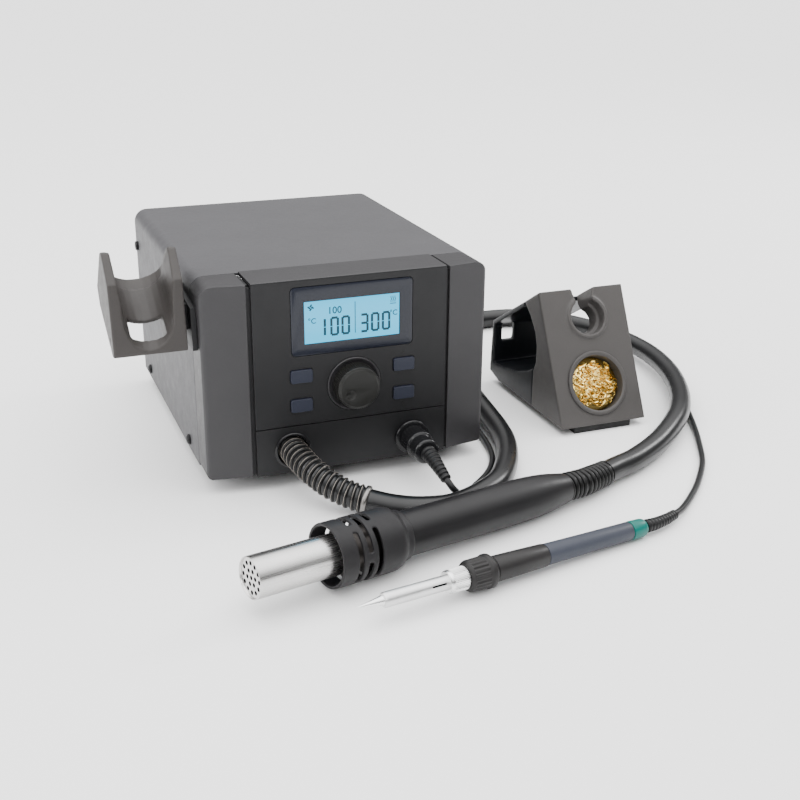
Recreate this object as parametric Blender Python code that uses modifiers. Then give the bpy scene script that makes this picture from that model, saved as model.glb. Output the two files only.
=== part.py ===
"""Two-tool bench station: a hot air handpiece on a hose and a soldering iron on a cord.

The set stands on one bench surface: the station, the handpiece and the iron lying in front of it, and
the iron stand beside it. Lengths below are millimetres, and MM turns them into Blender's metres.
Station frame: X to the right, Y to the back, Z up; X = 0 is the station's middle, Y = 0 the front of
its corner pillars, and Z = 0 the bench.
"""

import math

import bmesh
import bpy
from mathutils import Euler, Matrix, Vector

MM = 0.001
GAP = 0.3                 # clearance between touching pieces
WELD = 0.00001            # merge distance of every modifier that merges

# Station casing
STATION_W = 187.0
FOOT_H = 10.0
CASE_H = 124.7
CASE_TOP = FOOT_H + CASE_H
CASE_BACK = 222.0
COVER_FRONT = 24.5        # seam between the pillars and the cover
COVER_WALL = 2.0
TOP_RADIUS = 9.0
FEET_AT = [(-66.0, 36.0), (66.0, 36.0), (-66.0, 192.0), (66.0, 192.0)]
FOOT_R = 9.0

# Front of the station
PILLAR_IN = 65.6          # inner edge of a pillar, from the middle
PILLAR_NOSE = -4.7        # the pillar's inner edge stands proud of its outer one
PANEL_HALF = 63.1
PANEL_FRONT = -5.7
PANEL_T = 2.5
PANEL_SEAM = 41.3
PANEL_TOP = CASE_TOP + 0.8
WINDOW = (-39.0, 40.0, 87.0, 130.5)
LCD = (-30.5, 31.5, 94.0, 121.0)
KNOB_AT = (1.2, 64.8)
KNOB_R = 14.4
KNOB_RING_R = 17.5
BUTTON_W, BUTTON_H = 14.0, 8.4
BUTTON_TRAVEL = 1.2
BUTTONS = {"temp_up": (-33.2, 74.0), "temp_down": (-33.5, 54.8),
           "air_up": (34.3, 74.1), "air_down": (34.4, 54.7)}
HOSE_PORT = (-40.0, 25.4)
HOSE_PORT_R = 11.8
IRON_PORT = (40.0, 23.2)
IRON_PORT_R = 11.5

# Handpiece holder on the left side
HOLDER_OUT = -143.9
HOLDER_IN = -100.0
HOLDER_TILT = 32.0
CHANNEL_AT = (-121.95, 26.0, 129.0)
CHANNEL_R = 14.6

# Handpiece, lying in front of the station; lengths run back from the nozzle's mouth
HANDPIECE_MOUTH = (-104.3, -146.0, 22.4)
HANDPIECE_TAIL = (107.9, -89.2, 11.9)
NOZZLE_R = 11.55
GUARD_R = 18.2
GUARD_START, GUARD_SHOULDER, GUARD_END = 46.0, 84.0, 94.6
GUARD_NECK_R = 14.6
RELIEF_R, RELIEF_END_R = 8.9, 8.1
RELIEF_END = (145.7, -74.7, 9.2)

# Soldering iron, lying in front of the handpiece; lengths run back from the tip
IRON_TIP = (-57.2, -177.0, 12.9)
IRON_TAIL = (134.9, -140.6, 5.7)
BOOT_END = (161.1, -131.4, 4.5)

# Iron stand, seen along X: front foot, crest, back
STAND_X = (159.0, 226.4)
STAND_FLOOR = 4.5
STAND_FACE_FOOT = (5.5, STAND_FLOOR)
STAND_FACE_TOP = (51.2, 92.6)
STAND_CREST = (72.4, 79.9)
STAND_BORE_AT, STAND_BORE_R = 78.0, 13.1
STAND_CUP_AT, STAND_CUP_R = 30.0, 19.8
STAND_CUP_DEPTH = 14.5
STAND_CUP_SHIFT = 1.2     # the cup sits a little left of the bore
REAR_SLOT = ((166.2, 112.0, 34.0), (176.3, 132.0, 47.5))
STAND_AXIS_X = 194.0

# Hose and cord
HOSE_R = 7.5
SPRING_R = 8.5
CORD_R = 2.1
HOSE_POINTS = 74
CORD_POINTS = 80

# The set's own box without its cords, which puts the origin at the middle of its footprint
SET_X = (HOLDER_OUT, STAND_X[1])
SET_Y = (-178.2, 224.4)

COLORS = {
    "cover_grey": ((0.22, 0.22, 0.24), 0.45, 0.0),
    "trim_grey": ((0.25, 0.24, 0.23), 0.5, 0.0),
    "pillar_grey": ((0.070, 0.068, 0.072), 0.45, 0.0),
    "panel_dark": ((0.034, 0.034, 0.036), 0.4, 0.0),
    "key_blue": ((0.050, 0.056, 0.082), 0.45, 0.0),
    "lens_tint": ((0.045, 0.05, 0.068), 0.12, 0.0),
    "lcd_cyan": ((0.33, 0.83, 1.0), 0.3, 0.0),
    "holder_grey": ((0.13, 0.12, 0.118), 0.5, 0.0),
    "black_plastic": ((0.012, 0.012, 0.014), 0.45, 0.0),
    "grip_black": ((0.022, 0.02, 0.02), 0.6, 0.0),
    "grip_slate": ((0.07, 0.075, 0.09), 0.55, 0.0),
    "teal": ((0.0, 0.155, 0.13), 0.4, 0.0),
    "hose_black": ((0.016, 0.016, 0.018), 0.3, 0.0),
    "stand_grey": ((0.16, 0.15, 0.148), 0.5, 0.0),
    "steel": ((0.62, 0.61, 0.6), 0.28, 1.0),
    "bright_nickel": ((0.8, 0.8, 0.8), 0.2, 1.0),
    "tip_plating": ((0.86, 0.87, 0.88), 0.18, 1.0),
    "brass": ((0.75, 0.5, 0.14), 0.35, 1.0),
    "ceramic": ((0.8, 0.79, 0.75), 0.6, 0.0),
    "board_green": ((0.02, 0.16, 0.07), 0.5, 0.0),
    "copper": ((0.6, 0.25, 0.12), 0.4, 1.0),
}


# ---------------------------------------------------------------- scene and helpers

def clear_scene():
    for old in list(bpy.data.objects):
        bpy.data.objects.remove(old, do_unlink=True)


def make_collection(name):
    found = bpy.data.collections.new(name)
    bpy.context.scene.collection.children.link(found)
    return found


def make_materials():
    made = {}
    for name, (color, roughness, metallic) in COLORS.items():
        material = bpy.data.materials.new(name)
        material.use_nodes = True
        shader = material.node_tree.nodes["Principled BSDF"]
        shader.inputs["Base Color"].default_value = (*color, 1.0)
        shader.inputs["Roughness"].default_value = roughness
        shader.inputs["Metallic"].default_value = metallic
        made[name] = material
    return made


def metres(point):
    return Vector(point) * MM


def add(name, mesh, material, parent, cutter=False):
    made = bpy.data.objects.new(name, mesh)
    if cutter:
        CUTTERS.objects.link(made)
        made.hide_render = True
        made.display_type = "WIRE"
    else:
        PARTS.objects.link(made)
        mesh.materials.append(MATERIALS[material])
    made.parent = parent
    return made


def smooth(made, angle=35.0):
    made.data.shade_smooth()
    made.data.set_sharp_from_angle(angle=math.radians(angle))


def bevel(made, width, segments=2, angle=40.0):
    rounding = made.modifiers.new("rounded_edges", "BEVEL")
    rounding.width = width * MM
    rounding.segments = segments
    rounding.limit_method = "ANGLE"
    rounding.angle_limit = math.radians(angle)
    return made


def box(name, low, high, material=None, parent=None, cutter=False):
    """A box between two corners, with its origin at its middle."""
    low, high = metres(low), metres(high)
    mesh = bpy.data.meshes.new(name)
    shape = bmesh.new()
    bmesh.ops.create_cube(shape, size=1.0, matrix=Matrix.Diagonal((*(high - low), 1.0)))
    shape.to_mesh(mesh)
    shape.free()
    made = add(name, mesh, material, parent or STATION, cutter)
    made.location = (low + high) / 2
    return made


def turned(name, profile, material=None, parent=None, at=(0, 0, 0), axis=(0, 0, 1), steps=24, ring=False,
           cutter=False):
    """A turned piece. The profile is (radius, height) pairs down the outer side, along the axis.

    A ring's profile is closed: it comes back up the bore.
    """
    mesh = bpy.data.meshes.new(name)
    shape = bmesh.new()
    points = [shape.verts.new((radius * MM, 0.0, height * MM)) for radius, height in profile]
    for first, second in zip(points, points[1:]):
        shape.edges.new((first, second))
    if ring:
        shape.edges.new((points[-1], points[0]))
    shape.to_mesh(mesh)
    shape.free()
    made = add(name, mesh, material, parent or STATION, cutter)
    made.location = metres(at)
    made.rotation_euler = Vector(axis).to_track_quat("Z", "Y").to_euler()
    screw = made.modifiers.new("turned", "SCREW")
    screw.steps = steps
    screw.render_steps = steps
    screw.use_merge_vertices = True
    screw.merge_threshold = WELD
    screw.use_smooth_shade = True
    return made


def rod(name, radius, start, end, material=None, parent=None, at=(0, 0, 0), axis=(0, 0, 1), steps=20,
        cutter=False):
    """A plain cylinder between two heights on an axis."""
    profile = [(0, end), (radius, end), (radius, start), (0, start)]
    return turned(name, profile, material, parent, at, axis, steps, cutter=cutter)


AXES = {
    "X": Matrix(((0, 0, 1), (1, 0, 0), (0, 1, 0))),      # outline in Y and Z, thickness along X
    "Y": Matrix(((0, 1, 0), (0, 0, 1), (1, 0, 0))),      # outline in Z and X, thickness along Y
    "Z": Matrix(((1, 0, 0), (0, 1, 0), (0, 0, 1))),      # outline in X and Y, thickness along Z
}


def prism(name, outline, along, start, end, material=None, parent=None, cutter=False):
    """A flat outline given thickness along one axis, from start to end."""
    curve = bpy.data.curves.new(name + "_outline", "CURVE")
    curve.dimensions = "2D"
    curve.fill_mode = "BOTH"
    curve.extrude = (end - start) * MM / 2
    spline = curve.splines.new("POLY")
    spline.points.add(len(outline) - 1)
    for point, (u, v) in zip(spline.points, outline):
        point.co = (u * MM, v * MM, 0.0, 1.0)
    spline.use_cyclic_u = True
    drawn = bpy.data.objects.new(name + "_outline", curve)
    PARTS.objects.link(drawn)
    made = add(name, solid_mesh(drawn, name), material, parent or STATION, cutter)
    made.rotation_euler = AXES[along].to_euler()
    made.location = Matrix(AXES[along]) @ Vector((0, 0, (start + end) * MM / 2))
    return made


def solid_mesh(drawn, name):
    """The closed mesh of a curve object, which is then removed."""
    bpy.context.view_layer.update()
    evaluated = drawn.evaluated_get(bpy.context.evaluated_depsgraph_get())
    mesh = bpy.data.meshes.new_from_object(evaluated)
    mesh.name = name
    mesh.materials.clear()
    shape = bmesh.new()
    shape.from_mesh(mesh)
    bmesh.ops.remove_doubles(shape, verts=shape.verts, dist=WELD)
    bmesh.ops.recalc_face_normals(shape, faces=shape.faces)
    shape.to_mesh(mesh)
    shape.free()
    bpy.data.objects.remove(drawn, do_unlink=True)
    return mesh


def tube(name, points, radius, material, parent=None, end_radius=None, resolution=2):
    """A round cord through the points, as a filled curve, which may taper to its end."""
    curve = bpy.data.curves.new(name, "CURVE")
    curve.dimensions = "3D"
    curve.bevel_depth = radius * MM
    curve.bevel_resolution = resolution
    curve.use_fill_caps = True
    curve.materials.append(MATERIALS[material])
    spline = curve.splines.new("POLY")
    spline.points.add(len(points) - 1)
    for index, (point, co) in enumerate(zip(spline.points, points)):
        point.co = (*metres(co), 1.0)
        if end_radius:
            point.radius = 1 + (end_radius / radius - 1) * index / (len(points) - 1)
    made = bpy.data.objects.new(name, curve)
    PARTS.objects.link(made)
    made.parent = parent or STATION
    return made


def combine(target, cutter, operation="DIFFERENCE"):
    step = target.modifiers.new(operation.lower(), "BOOLEAN")
    step.operation = operation
    step.object = cutter
    return target


def rounded(low_u, high_u, low_v, high_v, radius, steps=4):
    """A rectangle's outline with round corners."""
    corners = [(high_u - radius, high_v - radius, 0), (low_u + radius, high_v - radius, 90),
               (low_u + radius, low_v + radius, 180), (high_u - radius, low_v + radius, 270)]
    return [point for u, v, turn in corners for point in arc(u, v, radius, turn, turn + 90, steps)]


def arc(u, v, radius, start, end, steps):
    angles = [math.radians(start + (end - start) * step / steps) for step in range(steps + 1)]
    return [(u + radius * math.cos(angle), v + radius * math.sin(angle)) for angle in angles]


def flipped(outline):
    """(X, Z) pairs turned into the (Z, X) pairs that a prism along Y takes."""
    return [(z, x) for x, z in outline]


def smooth_route(points, count):
    """Evenly spaced points on the smooth curve through a hand-laid route."""
    points = [Vector(point) for point in points]
    ends = [points[0] * 2 - points[1]] + points + [points[-1] * 2 - points[-2]]
    fine = []
    for a, b, c, d in zip(ends, ends[1:], ends[2:], ends[3:]):
        for step in range(24):
            t = step / 24
            fine.append(0.5 * (2 * b + (c - a) * t + (2 * a - 5 * b + 4 * c - d) * t ** 2
                               + (3 * b - a - 3 * c + d) * t ** 3))
    fine.append(points[-1])
    lengths = [0.0]
    for a, b in zip(fine, fine[1:]):
        lengths.append(lengths[-1] + (b - a).length)
    spaced, index = [], 0
    for number in range(count):
        wanted = lengths[-1] * number / (count - 1)
        while index < len(fine) - 2 and lengths[index + 1] < wanted:
            index += 1
        share = (wanted - lengths[index]) / (lengths[index + 1] - lengths[index])
        spaced.append(fine[index].lerp(fine[index + 1], share))
    return spaced


# ---------------------------------------------------------------- station casing

def build_cover():
    """Folded cover: top and both sides in one sheet, open at the front, back and bottom."""
    half = STATION_W / 2
    wall = COVER_WALL
    outer = ([(half, FOOT_H)] + arc(half - TOP_RADIUS, CASE_TOP - TOP_RADIUS, TOP_RADIUS, 0, 90, 6)
             + arc(TOP_RADIUS - half, CASE_TOP - TOP_RADIUS, TOP_RADIUS, 90, 180, 6) + [(-half, FOOT_H)])
    inner_r = TOP_RADIUS - wall
    inner = ([(wall - half, FOOT_H)] + arc(TOP_RADIUS - half, CASE_TOP - TOP_RADIUS, inner_r, 180, 90, 6)
             + arc(half - TOP_RADIUS, CASE_TOP - TOP_RADIUS, inner_r, 90, 0, 6) + [(half - wall, FOOT_H)])
    cover = prism("top_cover", flipped(outer + inner), "Y", COVER_FRONT + GAP, CASE_BACK, "cover_grey")
    holes = SIDE_SCREWS + HOLDER_SCREWS
    for number, (y, z) in enumerate(holes):
        combine(cover, rod(f"cut_side_hole_{number}", 2.2, -4, 4, at=(-half + 1, y, z), axis=(1, 0, 0),
                           steps=12, cutter=True))
    return smooth(cover, 30)


SIDE_SCREWS = [(194.5, 17.5), (53.0, 16.8)]
HOLDER_SCREWS = [(31.0, 99.5), (52.0, 118.0)]
SCREW_HEAD_H = 2.2


def build_screw(name, y, z, x, head_r, shank):
    """Pan-head screw driven into the left side, pointing along +X."""
    head_h, shank_r = SCREW_HEAD_H, 1.7
    profile = [(0, 0), (head_r * 0.55, -0.2), (head_r * 0.9, -0.9), (head_r, -1.8), (head_r, -head_h),
               (shank_r, -head_h), (shank_r, -head_h - shank), (0, -head_h - shank)]
    screw = turned(name, profile, "bright_nickel", at=(x, y, z), axis=(-1, 0, 0), steps=12)
    slot = box(f"cut_{name}_slot_a", (x - 2, y - 2, z - 0.4), (x + 0.9, y + 2, z + 0.4), cutter=True)
    cross = box(f"cut_{name}_slot_b", (x - 2, y - 0.4, z - 2), (x + 0.9, y + 0.4, z + 2), cutter=True)
    combine(screw, slot)
    combine(screw, cross)


def build_side_screws():
    skin = -STATION_W / 2
    names = ["side_screw_back", "side_screw_front"]
    for name, (y, z) in zip(names, SIDE_SCREWS):
        build_screw(name, y, z, skin - SCREW_HEAD_H - GAP, 3.6, 6)


def build_chassis():
    """Base pan with low side walls, which carries everything inside and the four feet."""
    half = STATION_W / 2 - COVER_WALL - GAP
    low, wall, side = FOOT_H + GAP, 1.5, 8.0
    outline = [(-half, low), (half, low), (half, low + side), (half - wall, low + side),
               (half - wall, low + wall), (wall - half, low + wall), (wall - half, low + side),
               (-half, low + side)]
    pan = prism("base_chassis", flipped(outline), "Y", 26.0, CASE_BACK - 3.0, "cover_grey")
    for number in range(6):
        x = -50.0 + number * 20.0
        combine(pan, box(f"cut_base_vent_{number}", (x, 80, 5), (x + 6, 150, 15), cutter=True))
    for number, (y, z) in enumerate(SIDE_SCREWS):
        combine(pan, rod(f"cut_pan_hole_{number}", 2.2, -4, 4, at=(1.3 - half, y, z), axis=(1, 0, 0),
                         steps=12, cutter=True))
    for number, (x, y) in enumerate(FEET_AT):
        combine(pan, rod(f"cut_foot_hole_{number}", 3.0, 5, 15, at=(x, y, 0), steps=12, cutter=True))
    return pan


def build_feet():
    """Rubber feet, each with a stem pushed up through the base pan."""
    top = FOOT_H
    for number, (x, y) in enumerate(FEET_AT):
        profile = [(0, top + 4), (2.6, top + 4), (2.6, top), (FOOT_R, top), (FOOT_R - 1.4, 0.8),
                   (FOOT_R - 2.2, 0), (0, 0)]
        turned(f"foot_{number + 1}", profile, "black_plastic", at=(x, y, 0), steps=20)


def build_rear_panel():
    half = STATION_W / 2 - COVER_WALL - GAP
    panel = prism("rear_panel", flipped(rounded(-half, half, FOOT_H + 0.6, CASE_TOP - COVER_WALL - GAP,
                                                TOP_RADIUS - COVER_WALL - GAP)), "Y", CASE_BACK - 2.6,
                  CASE_BACK - 0.6, "cover_grey")
    combine(panel, box("cut_inlet", (44.0, 210, 29.5), (72.4, 230, 50.5), cutter=True))
    combine(panel, box("cut_switch", (47.4, 210, 62.0), (68.6, 230, 77.0), cutter=True))
    for row in range(5):
        z = 62.0 + row * 11.0
        combine(panel, box(f"cut_rear_vent_{row}", (-70, 210, z), (-10, 230, z + 5), cutter=True))
    return panel


def build_inlet():
    """Appliance inlet in the rear panel, with its recess open to the back."""
    back = CASE_BACK - 0.6
    inlet = box("power_inlet", (44.4, back - 22, 29.9), (72.0, back - 2.6, 50.1), "black_plastic")
    flange = prism("inlet_flange_cut", flipped(rounded(38.2, 78.2, 26.0, 54.0, 3.0)), "Y", back + GAP,
                   back + 3.0, cutter=True)
    neck = box("inlet_neck_cut", (44.4, back - 3, 29.9), (72.0, back + 1, 50.1), cutter=True)
    recess = prism("inlet_recess_cut", flipped([(47.2, 33.0), (69.2, 33.0), (69.2, 43.5), (65.4, 47.2),
                                                (51.0, 47.2), (47.2, 43.5)]), "Y", back - 16, back + 8,
                   cutter=True)
    combine(inlet, neck, "UNION")
    combine(inlet, flange, "UNION")
    combine(inlet, recess)
    return inlet


def build_power_switch():
    """Rocker switch: a square-bodied frame, and a rocker on a pin along X."""
    back = CASE_BACK - 0.6
    frame = box("switch_frame", (47.8, back - 14, 62.4), (68.2, back + 0.8, 76.6), "black_plastic")
    rim = prism("switch_rim_cut", flipped(rounded(45.6, 70.4, 60.4, 78.6, 1.5)), "Y", back + GAP, back + 1.8,
                cutter=True)
    combine(frame, rim, "UNION")
    combine(frame, box("switch_well_cut", (49.4, back - 12, 64.0), (66.6, back + 4, 75.0), cutter=True))
    centre = metres((58.0, back - 1.0, 69.5))
    outline = arc(0, 0, 5.0, 65, 115, 4) + [(-2.1, 1.8)] + arc(0, -2.6, 2.6, 200, 340, 6) + [(2.1, 1.8)]
    rocker = prism("power_rocker", outline, "X", -8.2, 8.2, "black_plastic")
    rocker.location = centre
    return rocker


# ---------------------------------------------------------------- front of the station

def build_pillar(side, name):
    """Corner pillar: a moulded shell, open at the back, whose front sweeps back outwards."""
    half = STATION_W / 2
    outline = ([(PILLAR_IN, FOOT_H), (half - 2.5, FOOT_H)]
               + arc(half - 2.5, FOOT_H + 2.5, 2.5, 270, 360, 2)[1:]
               + arc(half - TOP_RADIUS, CASE_TOP - TOP_RADIUS, TOP_RADIUS, 0, 90, 6)
               + [(PILLAR_IN, CASE_TOP)])
    outline = [(side * x, z) for x, z in outline]
    pillar = prism(name, flipped(outline), "Y", PILLAR_NOSE, COVER_FRONT, "pillar_grey")
    sweep = [(side * (PILLAR_IN - 5), PILLAR_NOSE - 9), (side * (PILLAR_IN - 5), PILLAR_NOSE - 0.84),
             (side * PILLAR_IN, PILLAR_NOSE), (side * (half - 3), -0.6), (side * (half - 1), 0.6),
             (side * (half + 1), 4.0), (side * (half + 6), PILLAR_NOSE - 9)]
    combine(pillar, prism(f"cut_{name}_sweep", sweep, "Z", 0, CASE_TOP + 20, cutter=True))
    hollow = sorted([side * (PILLAR_IN + 2.5), side * (half - 2.5)])
    combine(pillar, box(f"cut_{name}_hollow", (hollow[0], 2.0, FOOT_H + 2.5), (hollow[1], 40, CASE_TOP - 8.0),
                        cutter=True))
    return smooth(pillar, 30)


def build_front_panel():
    """Upper front panel, an angle in side view: the dark face and the lip that laps the top."""
    back, low = PANEL_FRONT + PANEL_T, PANEL_SEAM + GAP
    section = [(PANEL_FRONT, low), (back, low), (back, PANEL_TOP - PANEL_T),
               (COVER_FRONT, PANEL_TOP - PANEL_T), (COVER_FRONT, PANEL_TOP), (PANEL_FRONT + 1.2, PANEL_TOP),
               (PANEL_FRONT + 0.35, PANEL_TOP - 0.35), (PANEL_FRONT, PANEL_TOP - 1.2)]
    panel = prism("front_panel", section, "X", -PANEL_HALF, PANEL_HALF, "panel_dark")
    low_x, high_x, low_z, high_z = WINDOW
    opening = rounded(low_x - GAP, high_x + GAP, low_z - GAP, high_z + GAP, 3.0)
    combine(panel, prism("cut_window", flipped(opening), "Y", -12, 0, cutter=True))
    for name, (x, z) in BUTTONS.items():
        key = rounded(x - BUTTON_W / 2 - GAP, x + BUTTON_W / 2 + GAP, z - BUTTON_H / 2 - GAP,
                      z + BUTTON_H / 2 + GAP, 1.5, 2)
        combine(panel, prism(f"cut_key_{name}", flipped(key), "Y", -12, 0, cutter=True))
    combine(panel, rod("cut_knob_ring", KNOB_RING_R + GAP, -12, 0, at=(KNOB_AT[0], 0, KNOB_AT[1]),
                       axis=(0, 1, 0), steps=32, cutter=True))
    return panel


def build_lower_panel():
    panel = box("lower_front_panel", (-PANEL_HALF, PANEL_FRONT, FOOT_H), (PANEL_HALF, PANEL_FRONT + PANEL_T,
                                                                          PANEL_SEAM - GAP), "panel_dark")
    for name, (x, z), radius in (("hose", HOSE_PORT, 10.4), ("iron", IRON_PORT, 9.0)):
        combine(panel, rod(f"cut_{name}_port", radius, -12, 6, at=(x, 0, z), axis=(0, 1, 0), steps=28,
                           cutter=True))
    return panel


def build_subframe():
    """Frame behind the front panels: it fills the grooves beside them and holds their clips."""
    half, back = PILLAR_IN - GAP, PANEL_FRONT + PANEL_T
    frame = box("front_subframe", (-half, back + GAP, FOOT_H + 0.6), (half, back + 3.0, CASE_TOP - 2.2),
                "black_plastic")
    combine(frame, box("cut_subframe_window", (-57, -12, 46), (57, 12, CASE_TOP - 3.6), cutter=True))
    combine(frame, rod("cut_subframe_hose", 10.6, -12, 12, at=(HOSE_PORT[0], 0, HOSE_PORT[1]), axis=(0, 1, 0),
                       steps=24, cutter=True))
    combine(frame, rod("cut_subframe_iron", 9.2, -12, 12, at=(IRON_PORT[0], 0, IRON_PORT[1]), axis=(0, 1, 0),
                       steps=24, cutter=True))
    return frame


def build_display():
    low_x, high_x, low_z, high_z = WINDOW
    prism("display_window", flipped(rounded(low_x, high_x, low_z, high_z, 2.7)), "Y", PANEL_FRONT,
          PANEL_FRONT + 1.5, "lens_tint")
    low_x, high_x, low_z, high_z = LCD
    box("lcd_module", (low_x - 4, PANEL_FRONT + 1.8, low_z - 5), (high_x + 4, 4.5, high_z + 5), "lcd_cyan")


def build_control_board():
    """Control board with the encoder soldered to its front, behind the knob."""
    board = box("control_board", (-58, 9.0, 46.5), (58, 10.6, 129), "board_green")
    for number, (x, z) in enumerate([(-52, 52), (52, 52), (-52, 123), (52, 123)]):
        combine(board, rod(f"cut_board_hole_{number}", 1.7, 5, 15, at=(x, 0, z), axis=(0, 1, 0), steps=10,
                           cutter=True))
    x, z = KNOB_AT
    body = box("encoder_body_cut", (x - 6.5, 1.6, z - 6.5), (x + 6.5, 9.8, z + 6.5), cutter=True)
    bush = rod("encoder_bush_cut", 4.4, -3.0, 2.0, at=(x, 0, z), axis=(0, 1, 0), cutter=True)
    combine(board, body, "UNION")
    combine(board, bush, "UNION")
    return combine(board, rod("encoder_bore_cut", 3.3, -6.0, 6.5, at=(x, 0, z), axis=(0, 1, 0), steps=20,
                              cutter=True))


def build_knob():
    """Rotary knob, which turns with the encoder's shaft inside a fixed ring."""
    x, z = KNOB_AT
    ring = [(KNOB_RING_R - 1.6, 0.6), (KNOB_RING_R, 0.4), (KNOB_RING_R, -2.2), (5.0, -2.2), (5.0, -1.0),
            (KNOB_RING_R - 1.6, -1.0)]
    turned("knob_ring", ring, "black_plastic", at=(x, PANEL_FRONT, z), axis=(0, -1, 0), steps=32, ring=True)
    profile = [(0, 10.6), (KNOB_R - 2.2, 10.6), (KNOB_R - 1.2, 10.0), (KNOB_R, 0.6), (KNOB_R, 0.2),
               (5.4, 0.2), (5.4, 2.4), (3.3, 2.4), (3.3, 8.4), (0, 8.4)]
    turned("knob", profile, "black_plastic", at=(x, PANEL_FRONT, z), axis=(0, -1, 0), steps=32)
    rod("encoder_shaft", 3.0, -11.4, 7.6, "steel", at=(x, PANEL_FRONT, z), axis=(0, -1, 0), steps=20)


def build_button(name, x, z):
    """Key cap with a flange behind the panel, which keeps it in."""
    outline = rounded(-BUTTON_W / 2, BUTTON_W / 2, -BUTTON_H / 2, BUTTON_H / 2, 1.2, 2)
    cap = prism(f"{name}_button", flipped(outline), "Y", PANEL_FRONT - 1.6, PANEL_FRONT + PANEL_T + 0.8,
                "key_blue")
    cap.location += metres((x, 0, z))
    half_w, half_h, inner = BUTTON_W / 2 + 1.2, BUTTON_H / 2 + 1.2, PANEL_FRONT + PANEL_T
    flange = box(f"{name}_flange_cut", (x - half_w, inner + GAP, z - half_h),
                 (x + half_w, inner + 1.3, z + half_h), cutter=True)
    return combine(cap, flange, "UNION")


def build_ports():
    """Hose gland on the left and round cord socket on the right of the lower panel."""
    x, z = HOSE_PORT
    gland = [(HOSE_PORT_R - 1.0, 1.4), (HOSE_PORT_R, 0.8), (HOSE_PORT_R, GAP), (10.1, GAP), (10.1, -9.0),
             (SPRING_R + GAP, -9.0), (SPRING_R + GAP, 1.4)]
    turned("hose_gland", gland, "black_plastic", at=(x, PANEL_FRONT, z), axis=(0, -1, 0), steps=28, ring=True)
    x, z = IRON_PORT
    socket = [(0, -10.0), (6.4, -10.0), (6.4, 3.2), (IRON_PORT_R - 0.8, 3.2), (IRON_PORT_R, 2.4),
              (IRON_PORT_R, GAP), (8.7, GAP), (8.7, -14.0), (0, -14.0)]
    turned("iron_socket", socket, "black_plastic", at=(x, PANEL_FRONT, z), axis=(0, -1, 0), steps=28)


# ---------------------------------------------------------------- inside the station

def build_transformer():
    """Mains transformer: its laminated core, and the winding that stands out at both ends."""
    core = box("transformer", (-78, 130, 12.4), (-22, 172, 62), "steel")
    return combine(core, box("winding_cut", (-64, 122, 24), (-36, 180, 50), cutter=True), "UNION")


def build_air_pump():
    """Diaphragm pump: its body, and the magnet arm that swings on a pin along Z."""
    body = box("air_pump", (-6, 92, 14.6), (68, 178, 18.0), "black_plastic")
    for number, (low, high) in enumerate([((0, 142, 17), (62, 174, 58)), ((24, 96, 17), (40, 118, 50))]):
        combine(body, box(f"pump_block_{number}_cut", low, high, cutter=True), "UNION")
    arm = prism("pump_arm", [(-3, -38), (3, -38), (3, 6), (-3, 6)], "Z", -8, 8, "steel")
    arm.location = metres((52.0, 134.0, 36.0))
    return arm


# ---------------------------------------------------------------- handpiece holder

def build_holder_plate():
    """Flat bracket screwed to the left side, with the block that carries the cradle."""
    skin = -STATION_W / 2 - GAP
    outline = [(6.5, 94.0), (58.0, 94.0), (61.0, 97.0), (61.0, 117.0), (54.0, 124.0), (8.5, 120.0)]
    plate = prism("holder_plate", outline, "X", skin - 3.0, skin, "black_plastic")
    arm = box("holder_block_cut", (HOLDER_IN + GAP, 18.0, 104.0), (skin - 2.0, 44.0, 120.0), cutter=True)
    combine(plate, arm, "UNION")
    for number, (y, z) in enumerate(HOLDER_SCREWS):
        combine(plate, rod(f"cut_plate_hole_{number}", 2.1, -5, 5, at=(skin - 1.5, y, z), axis=(1, 0, 0),
                           steps=12, cutter=True))
    names = ["holder_screw_front", "holder_screw_back"]
    for name, (y, z) in zip(names, HOLDER_SCREWS):
        build_screw(name, y, z, skin - 3.0 - GAP - SCREW_HEAD_H, 3.2, 8)
    return plate


def channel_outline(radius, flare):
    """Half-round floor with walls that flare towards the top; the second axis points up."""
    walls = [(radius + 0.3, 8), (radius + flare, 26), (radius + flare, 60)]
    return arc(0, 0, radius, 180, 360, 10) + walls + [(-u, v) for u, v in reversed(walls)]


def build_cradle():
    """Open-topped cradle, a U seen from the front, whose channel slopes down to the front."""
    outline = [(3.6, 95.8), (9.0, 138.1), (24.6, 153.9), (33.1, 152.3), (58.1, 125.3), (52.0, 114.0),
               (9.4, 94.0)]
    cradle = prism("handle_cradle", outline, "X", HOLDER_OUT, HOLDER_IN, "holder_grey")
    tilt = math.radians(HOLDER_TILT)
    across, rise = Vector((1, 0, 0)), Vector((0, -math.sin(tilt), math.cos(tilt)))
    along = across.cross(rise)
    frame = Matrix((across, rise, along)).transposed()
    cuts = [("channel", channel_outline(CHANNEL_R, 3.2), -70, 70),
            ("step", channel_outline(CHANNEL_R + 1.6, 3.0), -70, -14),
            ("window", [(-10.5, -40), (10.5, -40), (10.5, -6), (-10.5, -6)], 12, 27)]
    for name, section, start, end in cuts:
        cutter = prism(f"cut_cradle_{name}", section, "Z", start, end, cutter=True)
        cutter.rotation_euler = frame.to_euler()
        cutter.location = metres(Vector(CHANNEL_AT) + along * (start + end) / 2)
        combine(cradle, cutter)
    return smooth(cradle, 30)


# ---------------------------------------------------------------- handpiece

def axis_empty(name, tail, mouth):
    """An empty at the tail, whose Z runs along the tool towards its mouth."""
    made = bpy.data.objects.new(name, None)
    PARTS.objects.link(made)
    made.parent = STATION
    made.location = metres(tail)
    made.rotation_euler = (metres(mouth) - metres(tail)).to_track_quat("Z", "Y").to_euler()
    return made, (Vector(mouth) - Vector(tail)).length


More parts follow.
